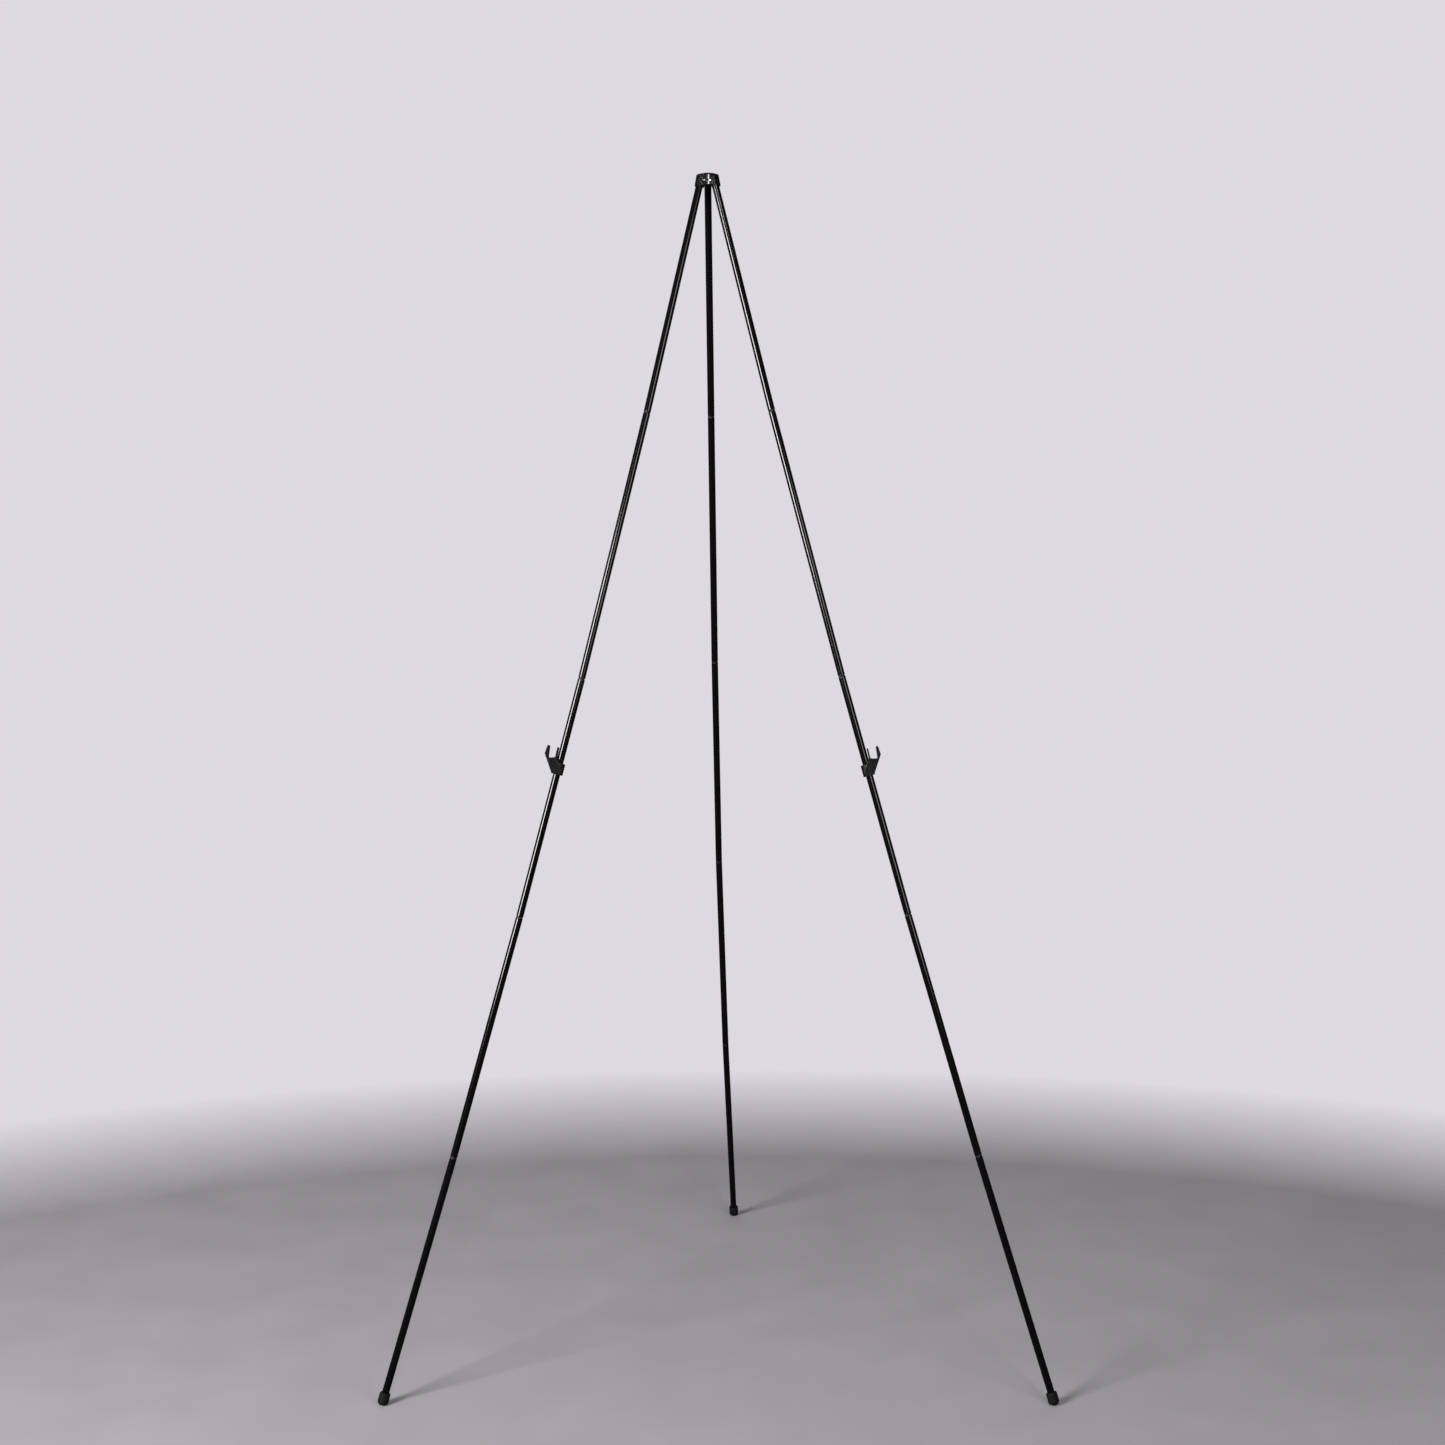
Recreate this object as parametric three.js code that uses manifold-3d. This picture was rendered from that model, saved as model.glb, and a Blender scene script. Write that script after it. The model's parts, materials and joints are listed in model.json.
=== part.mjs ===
// Collapsible tripod display easel.
//
// Three legs pivot in one small moulded hub. Each leg is five thin steel tubes that plug
// together over ferrules and are held by a shock cord running down the inside. Each front
// leg carries a holder: a grip that slides on the tube, and a hook that turns on the grip.
//
// Millimetres, +Z up, floor at Z = 0. The front of the easel faces -Y.
// The origin is the middle of the footprint, on the floor.

import * as THREE from 'three';
import { mergeVertices } from 'three/addons/utils/BufferGeometryUtils.js';
import Module from 'manifold-3d';

const wasm = await Module();
wasm.setup();

// ---------------------------------------------------------------- driving dimensions

const fitGap = 0.3; // air between neighbouring pieces
const cutMargin = 2; // how far a cutting shape runs past the material it cuts

// Legs: the first tube leans out from vertical, each later one a little further,
// because every plug-in joint has some play and the weight takes it up.
const firstLean = THREE.MathUtils.degToRad(15.5);
const leanPerJoint = THREE.MathUtils.degToRad(0.86);
const sectionLengths = [320, 366, 326, 326, 332]; // pivot to floor, joint to joint

// Azimuth is in degrees from -Y towards +X. Sway is how many degrees each section is
// turned sideways on the one above: the rear leg's joints also give a little to one side.
// A holder's place is the middle of its collar below the joint above it.
const noSway = [0, 0, 0, 0, 0];
const legs = [
  { name: 'left', azimuth: -60, sway: noSway, holderFromJoint: 123.5 },
  { name: 'right', azimuth: 60, sway: noSway, holderFromJoint: 129 },
  { name: 'rear', azimuth: 180, sway: [0.45, 0, -0.3, -0.75, -0.6], holderFromJoint: null },
];

// Tubes and what is inside them
const tubeRadius = 4.75;
const tubeWall = 0.7;
const tubeBore = tubeRadius - tubeWall;
const tubeEdge = 0.5; // rolled edge at each tube end
const ferruleRadius = tubeBore - 2 * fitGap;
const ferruleBore = 2.55;
const ferruleFixedLength = 22; // kept in the upper tube
const ferruleFreeLength = 20; // plugs into the lower tube
const ferruleLeadIn = 0.8;
const shoulderRadius = 4.3;
const shoulderHeight = 0.8;
const jointGap = shoulderHeight + 2 * fitGap; // between one tube's end and the next
const cordRadius = 1.5;
const cordHole = cordRadius + fitGap;
const knotRadius = 2.6;

// Hub
const hubBaseRadius = 17.65;
const hubTopRadius = 14.95;
const hubBodyHeight = 13.7;
const hubHeight = 17.3;
const hubEdge = 0.5;
const pivotRadius = 10.7; // pivot axis from the hub's centre line
const pivotAboveHubBase = 6;
const pinRadius = 1.3;
const pinHoleRadius = 1.42;
const pinHalfLength = 11.8;
const slotHalfWidth = tubeRadius + 0.35;
const slotInnerEnd = 4.7;
const slotCeiling = pivotAboveHubBase + 5.4; // the plug's head meets it at full spread
const fluteRadius = 1.1;
const fluteAngles = [-34, -23, 0, 23, 34]; // degrees either side of the middle of a hub lobe
const capRimHeight = 0.8;
const capSpigotRadius = 11.5;
const capSpigotDepth = 1.2;

// Plug at the top of each leg
const headTop = 4; // above the pivot axis
const headBottom = 5; // below the pivot axis
const plugRadius = tubeBore - fitGap;
const plugDepth = 17;
const knotPocketRadius = 2.95;
const knotPocketTop = 8; // below the pivot axis
const knotPocketHeight = 5.4;
const knotPocketTaper = 1;

// Anchor at the bottom of each leg
const anchorDepth = 9;
const anchorFlange = 1;

// Feet
const footRadius = 7.25;
const footHeight = 16.5;
const footTopRadius = 6.1;
const footTopSlope = 1.4;
const footSole = 3.5; // rubber under the knot
const footCorner = 5.5;
const footTip = 0.15; // how far the tip runs past the floor, along the leg
const knotRoom = 5.8; // space for the cord's knot under the anchor

// Holders
const holderSection = 2; // third tube, counted from 0
const holderTurn = THREE.MathUtils.degToRad(30); // hook turned back from radial
const gripBore = tubeRadius + fitGap;
const gripRadius = 6.1;
const gripLength = 14.4;
const collarBore = gripRadius + fitGap;
const collarRadius = 7.85;
const collarLength = 15.5;
const collarEdge = 0.6;
const hookThickness = 16;
const hookBevel = 0.8;
const notchLean = THREE.MathUtils.degToRad(16.5); // notch opens straight up, not along the leg
const notchWidth = 9.4;
const notchCorner = 2.2;
const notchFloor = { x: 11.9, z: 12.4 };

// How finely the round shapes are faceted
const tubeFacets = 24;
const smallFacets = 16;
const hubFacets = 48;
const footFacets = 28;
const fluteFacets = 10;
const cordStepsPerSection = 3;
const cordHalfFacets = 4;
const knotFacets = 10;
const arcSteps = 4;

// ---------------------------------------------------------------- materials

const finishes = {
  glossTube: { color: 0x141416, roughness: 0.22, metalness: 0.55 },
  glossPlastic: { color: 0x121214, roughness: 0.28, metalness: 0 },
  satinPlastic: { color: 0x1e1e20, roughness: 0.5, metalness: 0 },
  blackRubber: { color: 0x1a1a1a, roughness: 0.85, metalness: 0 },
  brightSteel: { color: 0xb9bcc0, roughness: 0.3, metalness: 1 },
  zincSteel: { color: 0x8d9094, roughness: 0.4, metalness: 1 },
  braidedCord: { color: 0x3a3a3d, roughness: 0.9, metalness: 0 },
};

function piece(name, geometry, finish) {
  const mesh = new THREE.Mesh(geometry, new THREE.MeshStandardMaterial(finishes[finish]));
  mesh.name = name;
  return mesh;
}

// ---------------------------------------------------------------- geometry helpers

// Bare closed surface: positions only, shared corners, no triangle without area.
function bare(geometry) {
  const positionsOnly = geometry.clone();
  positionsOnly.deleteAttribute('normal');
  positionsOnly.deleteAttribute('uv');
  const merged = mergeVertices(positionsOnly, 1e-4);
  const index = merged.index.array;
  const kept = [];
  for (let i = 0; i < index.length; i += 3) {
    const [a, b, c] = [index[i], index[i + 1], index[i + 2]];
    if (a !== b && b !== c && c !== a) {
      kept.push(a, b, c);
    }
  }
  merged.setIndex(kept);
  return facingOut(merged);
}

// Reverses every triangle if the surface encloses a negative volume.
function facingOut(geometry) {
  const index = geometry.index.array;
  const position = geometry.attributes.position;
  const [a, b, c] = [new THREE.Vector3(), new THREE.Vector3(), new THREE.Vector3()];
  let volume = 0;
  for (let i = 0; i < index.length; i += 3) {
    a.fromBufferAttribute(position, index[i]);
    b.fromBufferAttribute(position, index[i + 1]);
    c.fromBufferAttribute(position, index[i + 2]);
    volume += a.dot(b.cross(c)) / 6;
  }
  if (volume < 0) {
    for (let i = 0; i < index.length; i += 3) {
      [index[i + 1], index[i + 2]] = [index[i + 2], index[i + 1]];
    }
  }
  return geometry;
}

function toSolid(geometry) {
  const closed = bare(geometry);
  return new wasm.Manifold(
    new wasm.Mesh({
      numProp: 3,
      vertProperties: new Float32Array(closed.attributes.position.array),
      triVerts: new Uint32Array(closed.index.array),
    }),
  );
}

function fromSolid(solid) {
  const mesh = solid.getMesh();
  const geometry = new THREE.BufferGeometry();
  geometry.setAttribute('position', new THREE.BufferAttribute(mesh.vertProperties, 3));
  geometry.setIndex(new THREE.BufferAttribute(mesh.triVerts, 1));
  geometry.computeVertexNormals();
  return geometry;
}

// Joins the first list of shapes, then takes the second list away.
function carve(joined, removed) {
  let solid = toSolid(joined[0]);
  for (const shape of joined.slice(1)) {
    solid = solid.add(toSolid(shape));
  }
  for (const shape of removed) {
    solid = solid.subtract(toSolid(shape));
  }
  return fromSolid(solid);
}

// Revolves [radius, height] points about the Z axis.
function turned(profile, facets) {
  const points = profile.map(([radius, height]) => new THREE.Vector2(radius, height));
  const geometry = bare(new THREE.LatheGeometry(points, facets).rotateX(Math.PI / 2));
  geometry.computeVertexNormals();
  return geometry;
}

// Revolves a closed outline, for a piece with a hole down its axis.
function turnedRing(profile, facets) {
  return turned([...profile, profile[0]], facets);
}

// Cylinder along Z between two heights.
function rod(radius, bottom, top, facets = smallFacets) {
  return turned([[0, bottom], [radius, bottom], [radius, top], [0, top]], facets);
}

// Cylinder along Y, centred on the origin.
function crossRod(radius, halfLength) {
  return rod(radius, -halfLength, halfLength).rotateX(Math.PI / 2);
}

// Points on an arc about (cx, cy), from one angle to another in degrees.
function arc(cx, cy, radius, from, to, steps = arcSteps) {
  const points = [];
  for (let i = 0; i <= steps; i += 1) {
    const angle = THREE.MathUtils.degToRad(from + ((to - from) * i) / steps);
    points.push([cx + radius * Math.cos(angle), cy + radius * Math.sin(angle)]);
  }
  return points;
}

// Turns from the +X direction to a direction given in degrees from -Y towards +X.
function headingTurn(azimuth) {
  return THREE.MathUtils.degToRad(azimuth - 90);
}

// ---------------------------------------------------------------- hub

// Distance of the hub's sloping side from its centre line.
function hubRadiusAt(height) {
  return THREE.MathUtils.lerp(hubBaseRadius, hubTopRadius, height / (hubBodyHeight + capRimHeight));
}

// Tapered puck with a slot for each leg, a hole for each pin and flutes on its lobes.
function makeHubBody() {
  const puck = turned(
    [
      [0, 0],
      [hubBaseRadius - hubEdge, 0],
      [hubRadiusAt(hubEdge), hubEdge],
      [hubRadiusAt(hubBodyHeight), hubBodyHeight],
      [0, hubBodyHeight],
    ],
    hubFacets,
  );
  const cuts = [rod(capSpigotRadius + fitGap, hubBodyHeight - capSpigotDepth - fitGap,
    hubBodyHeight + cutMargin, hubFacets)];
  for (const leg of legs) {
    const turn = headingTurn(leg.azimuth);
    cuts.push(hubSlot().rotateZ(turn));
    cuts.push(hubPinHole().rotateZ(turn));
    for (const angle of fluteAngles) {
      cuts.push(hubFlute().rotateZ(turn + THREE.MathUtils.degToRad(180 + angle)));
    }
  }
  return piece('hub_body', carve([puck], cuts), 'glossPlastic');
}

// Slot for the leg on +X, open below and outwards.
function hubSlot() {
  const outerEnd = hubBaseRadius + cutMargin;
  const length = outerEnd - slotInnerEnd;
  const height = slotCeiling + cutMargin;
  const slot = new THREE.BoxGeometry(length, 2 * slotHalfWidth, height);
  return slot.translate(slotInnerEnd + length / 2, 0, slotCeiling - height / 2);
}

function hubPinHole() {
  return crossRod(pinHoleRadius, hubBaseRadius).translate(pivotRadius, 0, pivotAboveHubBase);
}

// Upright half-round groove that follows the slope of the side at +X.
function hubFlute() {
  const slope = Math.atan((hubRadiusAt(0) - hubRadiusAt(slotCeiling)) / slotCeiling);
  const flute = rod(fluteRadius, -cutMargin, slotCeiling - fitGap, fluteFacets);
  return flute.rotateY(-slope).translate(hubRadiusAt(0), 0, 0);
}

// Low dome that closes the top of the hub, with a spigot pressed into its recess.
function makeHubCap() {
  const base = hubBodyHeight + fitGap;
  const rimTop = base + capRimHeight;
  const rise = hubHeight - rimTop;
  const rimRadius = hubRadiusAt(rimTop) - fitGap;
  const domeRadius = (rimRadius ** 2 + rise ** 2) / (2 * rise);
  const halfAngle = THREE.MathUtils.radToDeg(Math.asin(rimRadius / domeRadius));
  const dome = arc(0, hubHeight - domeRadius, domeRadius, 90 - halfAngle, 90);
  dome[dome.length - 1][0] = 0;
  const profile = [
    [0, base - capSpigotDepth],
    [capSpigotRadius, base - capSpigotDepth],
    [capSpigotRadius, base],
    [hubRadiusAt(base), base],
    ...dome,
  ];
  return piece('hub_cap', turned(profile, hubFacets), 'glossPlastic');
}

function makePivotPin(side) {
  const pin = crossRod(pinRadius, pinHalfLength);
  return piece(`${side}_pivot_pin`, pin, 'brightSteel');
}

// ---------------------------------------------------------------- leg pieces
// Each is drawn about the tube's own axis, with +Z towards the hub.

// Head that turns on the pivot pin, over a spigot pressed into the first tube.
// The cord's top knot sits in a pocket reached from below.
function makeLegPlug(side) {
  const pocketBottom = knotPocketTop + knotPocketHeight;
  const body = turned(
    [
      [0, headTop],
      [tubeRadius - tubeEdge, headTop],
      [tubeRadius, headTop - tubeEdge],
      [tubeRadius, -headBottom],
      [plugRadius, -headBottom],
      [plugRadius, -headBottom - plugDepth],
      [cordHole, -headBottom - plugDepth],
      [cordHole, -pocketBottom],
      [knotPocketRadius, -pocketBottom + knotPocketTaper],
      [knotPocketRadius, -knotPocketTop],
      [0, -knotPocketTop],
    ],
    tubeFacets,
  );
  const eye = crossRod(pinHoleRadius, tubeRadius + cutMargin);
  return piece(`${side}_leg_plug`, carve([body], [eye]), 'satinPlastic');
}

// Thin-walled tube with rolled outer edges, between two depths below its section's top.
function makeTube(side, number, topDepth, bottomDepth) {
  const profile = [
    [tubeBore, -topDepth],
    [tubeRadius - tubeEdge, -topDepth],
    [tubeRadius, -topDepth - tubeEdge],
    [tubeRadius, -bottomDepth + tubeEdge],
    [tubeRadius - tubeEdge, -bottomDepth],
    [tubeBore, -bottomDepth],
  ];
  return piece(`${side}_tube_${number}`, turnedRing(profile, tubeFacets), 'glossTube');
}

// Hollow connector with a narrow shoulder that the two tube ends rest on.
// Its middle is the joint, at the given depth below the section's top.
function makeFerrule(side, number, depth) {
  const profile = [
    [ferruleBore, ferruleFixedLength],
    [ferruleRadius, ferruleFixedLength],
    [ferruleRadius, shoulderHeight / 2],
    [shoulderRadius, shoulderHeight / 2],
    [shoulderRadius, -shoulderHeight / 2],
    [ferruleRadius, -shoulderHeight / 2],
    [ferruleRadius, -ferruleFreeLength + ferruleLeadIn],
    [ferruleRadius - ferruleLeadIn / 2, -ferruleFreeLength],
    [ferruleBore, -ferruleFreeLength],
  ];
  const ferrule = turnedRing(profile, smallFacets).translate(0, 0, -depth);
  return piece(`${side}_ferrule_${number}`, ferrule, 'zincSteel');
}

// Flanged bush in the end of the last tube, for the cord to be knotted under.
function makeCordAnchor(side, depth) {
  const profile = [
    [cordHole, anchorDepth],
    [plugRadius, anchorDepth],
    [plugRadius, -fitGap],
    [tubeRadius - fitGap, -fitGap],
    [tubeRadius - fitGap, -fitGap - anchorFlange],
    [cordHole, -fitGap - anchorFlange],
  ];
  const anchor = turnedRing(profile, smallFacets).translate(0, 0, -depth);
  return piece(`${side}_cord_anchor`, anchor, 'satinPlastic');
}

// Rubber tip over the end of the last tube, trimmed flat where it stands on the floor.
// The tube ends at the given height above the end of the leg's axis.
function makeFoot(leg, tubeEnd) {
  const socketFloor = tubeEnd - fitGap - anchorFlange - knotRoom;
  const outline = [
    [0, -footTip],
    ...arc(footRadius - footCorner, footCorner - footTip, footCorner, -90, 0),
    [footRadius, footHeight - footTopSlope],
    [footTopRadius, footHeight],
    [gripBore, footHeight],
    [gripBore, tubeEnd - fitGap - anchorFlange],
    [knotRadius + fitGap, tubeEnd - fitGap - anchorFlange],
    [knotRadius + fitGap, socketFloor],
    [0, socketFloor],
  ];
  const tip = turned(outline, footFacets);
  const groundSize = 4 * footRadius;
  const ground = new THREE.BoxGeometry(groundSize, groundSize, groundSize);
  const axisToFloor = pivotHeight() + legAxisPoints(leg).at(-1).z;
  ground.translate(0, 0, -axisToFloor - groundSize / 2).applyQuaternion(lastTurn(leg).invert());
  const foot = carve([tip], [ground]).translate(0, 0, -sectionLengths.at(-1));
  return piece(`${leg.name}_foot`, foot, 'blackRubber');
}

// How a section is turned on the one above it, for a leg that leans out towards +X.
function sectionTurn(leg, index) {
  const lean = index === 0 ? firstLean : leanPerJoint;
  const sway = THREE.MathUtils.degToRad(leg.sway[index]);
  return new THREE.Quaternion().setFromEuler(new THREE.Euler(sway, -lean, 0));
}

// How a leg's last section is turned from upright.
function lastTurn(leg) {
  const turn = new THREE.Quaternion();
  sectionLengths.forEach((length, i) => turn.multiply(sectionTurn(leg, i)));
  return turn;
}

// Points down the middle of a leg, pivot first.
// Each is where one section ends and the next begins; the last is on the floor.
function legAxisPoints(leg) {
  const points = [new THREE.Vector3(0, 0, 0)];
  const turn = new THREE.Quaternion();
  sectionLengths.forEach((length, i) => {
    turn.multiply(sectionTurn(leg, i));
    const along = new THREE.Vector3(0, 0, -length).applyQuaternion(turn);
    points.push(along.add(points[points.length - 1]));
  });
  return points;
}

// Height of the pivots above the floor, set by the legs without sway.
function pivotHeight() {
  return -legAxisPoints(legs[0]).at(-1).z;
}

// Shock cord down the middle of a leg, with a knot at each end.
function makeCord(leg, cordEndDepth) {
  const joints = legAxisPoints(leg);
  const topKnot = new THREE.Vector3().lerpVectors(
    joints[0], joints[1], (knotPocketTop + knotPocketHeight / 2) / sectionLengths[0]);
  const lastSection = sectionLengths.length - 1;
  const bottomKnot = new THREE.Vector3().lerpVectors(
    joints[lastSection], joints[lastSection + 1], cordEndDepth / sectionLengths[lastSection]);
  const route = new THREE.CatmullRomCurve3([topKnot, ...joints.slice(1, -1), bottomKnot]);
  const section = new THREE.Shape();
  section.absarc(0, 0, cordRadius, 0, 2 * Math.PI);
  const cord = new THREE.ExtrudeGeometry(section, {
    steps: cordStepsPerSection * sectionLengths.length,
    curveSegments: cordHalfFacets,
    extrudePath: route,
    bevelEnabled: false,
  });
  const knots = [topKnot, bottomKnot].map((middle) =>
    new THREE.SphereGeometry(knotRadius, knotFacets, knotFacets)
      .translate(middle.x, middle.y, middle.z));
  return piece(`${leg.name}_cord`, carve([cord, ...knots], []), 'braidedCord');
}

// ---------------------------------------------------------------- holders
// Drawn about the tube's axis, +Z towards the hub, with the hook reaching towards +X.

function makeHolderGrip(side) {
  const half = gripLength / 2;
  const profile = [
    [gripBore, half],
    [gripRadius, half],
    [gripRadius, -half],
    [gripBore, -half],
  ];
  return piece(`${side}_holder_grip`, turnedRing(profile, tubeFacets), 'blackRubber');
}

// Side view of the hook: an arm rising out of the collar to a notch between two prongs,
// a short one along the tube and a long one with its lip bent back over the notch.
function hookOutline() {
  const bottom = -collarLength / 2;
  const across = new THREE.Vector2(Math.cos(notchLean), -Math.sin(notchLean));
  const up = new THREE.Vector2(Math.sin(notchLean), Math.cos(notchLean));
  const floor = new THREE.Vector2(notchFloor.x, notchFloor.z);
  const inNotch = (side, rise) => {
    const point = floor.clone().addScaledVector(across, side).addScaledVector(up, rise);
    return [point.x, point.y];
  };
  const half = notchWidth / 2;
  const lean = THREE.MathUtils.radToDeg(notchLean);
  const corner = (side, from, to) => {
    const [x, z] = inNotch(side * (half - notchCorner), notchCorner);
    return arc(x, z, notchCorner, from - lean, to - lean);
  };
  return [
    [-5.6, bottom],
    [6.6, bottom],
    [22, 15.6],
    [21.2, 25.8],
    [20.6, 27.1],
    [19.3, 27.4],
    [18.4, 26.6],
    ...corner(1, 0, -90),
    ...corner(-1, -90, -180),
    [7.7, 26.6],
    [7.0, 27.8],
    [5.9, 27.2],
    [5.5, 15.2],
    [4, 12.8],
    [-5.3, 0],
  ];
}

// Collar and hook in one moulding. A step in the bore stops the grip from sliding out
// of the top; above it the bore only clears the tube.
function makeHolderHook(side) {
  const half = collarLength / 2;
  const collar = turned(
    [
      [0, -half],
      [collarRadius - collarEdge, -half],
      [collarRadius, -half + collarEdge],
      [collarRadius, half - collarEdge],
      [collarRadius - collarEdge, half],
      [0, half],
    ],
    2 * tubeFacets,
  );
  const outline = hookOutline().map(([x, z]) => new THREE.Vector2(x, z));
  const arm = new THREE.ExtrudeGeometry(new THREE.Shape(outline), {
    depth: hookThickness - 2 * hookBevel,
    bevelThickness: hookBevel,
    bevelSize: hookBevel,
    bevelOffset: -hookBevel,
    bevelSegments: 1,
  });
  arm.translate(0, 0, -hookThickness / 2 + hookBevel).rotateX(Math.PI / 2);
  const gripSeat = rod(collarBore, -half - cutMargin, gripLength / 2 + fitGap, tubeFacets);
  const clearance = rod(gripBore + fitGap, -half, 2 * collarLength, tubeFacets);
  return piece(`${side}_holder_hook`, carve([collar, arm], [gripSeat, clearance]), 'satinPlastic');
}

// ---------------------------------------------------------------- assembly

// Everything that hangs on one pivot, drawn with the pivot at the origin and the leg
// leaning towards +X. Sections are nested, each turned a little on the one above.
function makeLeg(leg) {
  const { name } = leg;
  const group = new THREE.Group();
  group.name = `${name}_leg`;
  const lastIndex = sectionLengths.length - 1;
  const tubeEnd = footSole + knotRoom + anchorFlange + fitGap; // above the floor, along the leg
  const anchorDepthAt = sectionLengths[lastIndex] - tubeEnd;
  let parent = group;
  sectionLengths.forEach((length, i) => {
    const section = new THREE.Group();
    section.name = `${name}_section_${i + 1}`;
    section.quaternion.copy(sectionTurn(leg, i));
    section.position.z = i === 0 ? 0 : -sectionLengths[i - 1];
    const topDepth = i === 0 ? headBottom + fitGap : jointGap / 2;
    const bottomDepth = i === lastIndex ? anchorDepthAt : length - jointGap / 2;
    section.add(makeTube(name, i + 1, topDepth, bottomDepth));
    if (i === 0) {
      section.add(makeLegPlug(name));
    }
    if (i < lastIndex) {
      section.add(makeFerrule(name, i + 1, length));
    } else {
      section.add(makeCordAnchor(name, anchorDepthAt));
      section.add(makeFoot(leg, tubeEnd));
    }
    if (leg.holderFromJoint && i === holderSection) {
      section.add(makeHolder(leg));
    }
    parent.add(section);
    parent = section;
  });
  const knotDepth = anchorDepthAt + fitGap + anchorFlange + fitGap + knotRadius;
  group.add(makeCord(leg, knotDepth));
  return group;
}

function makeHolder({ name, holderFromJoint }) {
  const holder = new THREE.Group();
  holder.name = `${name}_holder`;
  holder.position.z = -holderFromJoint;
  holder.rotation.z = name === 'left' ? -holderTurn : holderTurn;
  holder.add(makeHolderGrip(name));
  holder.add(makeHolderHook(name));
  return holder;
}

function makeEasel() {
  const easel = new THREE.Group();
  easel.name = 'tripod_easel';
  const hub = new THREE.Group();
  hub.name = 'hub';
  hub.position.z = pivotHeight() - pivotAboveHubBase;
  hub.add(makeHubBody());
  hub.add(makeHubCap());
  easel.add(hub);
  for (const leg of legs) {
    const heading = new THREE.Group();
    heading.name = `${leg.name}_heading`;
    heading.rotation.z = headingTurn(leg.azimuth);
    const pivot = new THREE.Group();
    pivot.name = `${leg.name}_pivot`;
    pivot.position.set(pivotRadius, 0, pivotHeight());
    pivot.add(makePivotPin(leg.name));
    pivot.add(makeLeg(leg));
    heading.add(pivot);
    easel.add(heading);
  }
  return easel;
}

// Puts the middle of the footprint on the origin.
function centred(easel) {
  easel.updateMatrixWorld(true);
  const middle = new THREE.Box3().setFromObject(easel, true).getCenter(new THREE.Vector3());
  easel.position.set(-middle.x, -middle.y, 0);
  easel.updateMatrixWorld(true);
  return easel;
}

export default centred(makeEasel());
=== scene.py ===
"""Looks for the collapsible tripod display easel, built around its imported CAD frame.

Metres, +Z up, floor at Z = 0, front towards -Y. Each piece is drawn about its own axis with
+Z towards the hub, then set in place by the matrix of the section that it belongs to.
"""

import functools
import json
import math

import bmesh
import bpy
from mathutils import Matrix, Vector
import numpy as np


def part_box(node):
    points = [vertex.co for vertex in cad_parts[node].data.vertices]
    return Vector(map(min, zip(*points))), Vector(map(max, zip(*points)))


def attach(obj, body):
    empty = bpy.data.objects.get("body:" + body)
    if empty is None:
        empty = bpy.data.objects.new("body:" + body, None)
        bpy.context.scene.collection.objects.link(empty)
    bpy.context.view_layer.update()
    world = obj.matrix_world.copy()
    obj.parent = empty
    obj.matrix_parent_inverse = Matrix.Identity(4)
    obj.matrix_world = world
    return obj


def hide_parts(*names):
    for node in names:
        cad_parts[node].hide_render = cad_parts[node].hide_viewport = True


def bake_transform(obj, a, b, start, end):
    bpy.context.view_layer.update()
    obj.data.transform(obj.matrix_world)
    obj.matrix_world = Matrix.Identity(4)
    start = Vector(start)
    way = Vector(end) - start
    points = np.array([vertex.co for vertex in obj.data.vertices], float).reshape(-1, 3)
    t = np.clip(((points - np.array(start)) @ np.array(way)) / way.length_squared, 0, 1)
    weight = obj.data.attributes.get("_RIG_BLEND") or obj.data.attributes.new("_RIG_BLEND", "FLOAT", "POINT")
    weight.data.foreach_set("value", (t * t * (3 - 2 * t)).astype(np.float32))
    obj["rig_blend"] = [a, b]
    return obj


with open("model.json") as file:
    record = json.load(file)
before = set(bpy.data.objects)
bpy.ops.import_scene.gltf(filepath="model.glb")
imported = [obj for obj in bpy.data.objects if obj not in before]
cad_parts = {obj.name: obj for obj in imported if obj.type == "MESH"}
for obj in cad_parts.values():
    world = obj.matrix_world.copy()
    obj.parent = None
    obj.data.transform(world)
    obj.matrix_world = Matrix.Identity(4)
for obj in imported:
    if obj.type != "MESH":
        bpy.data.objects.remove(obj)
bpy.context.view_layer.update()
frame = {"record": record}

# ------------------------------ driving dimensions

MM = 0.001
FIT_GAP = 0.3 * MM
CUT_MARGIN = 2 * MM  # how far a cutting shape runs past what it cuts

# Roundings of cut and moulded edges, from the crispest to the softest
CRISP_EDGE = 0.1 * MM
FINE_EDGE = 0.15 * MM
PLAIN_EDGE = 0.2 * MM
SOFT_EDGE = 0.3 * MM

# Legs: azimuth is in degrees from -Y towards +X
LEG_AZIMUTHS = {"left": -60, "right": 60, "rear": 180}
FIRST_LEAN = math.radians(15.5)
LEAN_PER_JOINT = math.radians(0.86)
# Sway: how many degrees each section swings sideways from the one above
NO_SWAY = (0, 0, 0, 0, 0)
SWAY = {"left": NO_SWAY, "right": NO_SWAY, "rear": (0.45, 0, -0.3, -0.75, -0.6)}
SECTION_LENGTHS = [length * MM for length in (320, 366, 326, 326, 332)]

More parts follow.
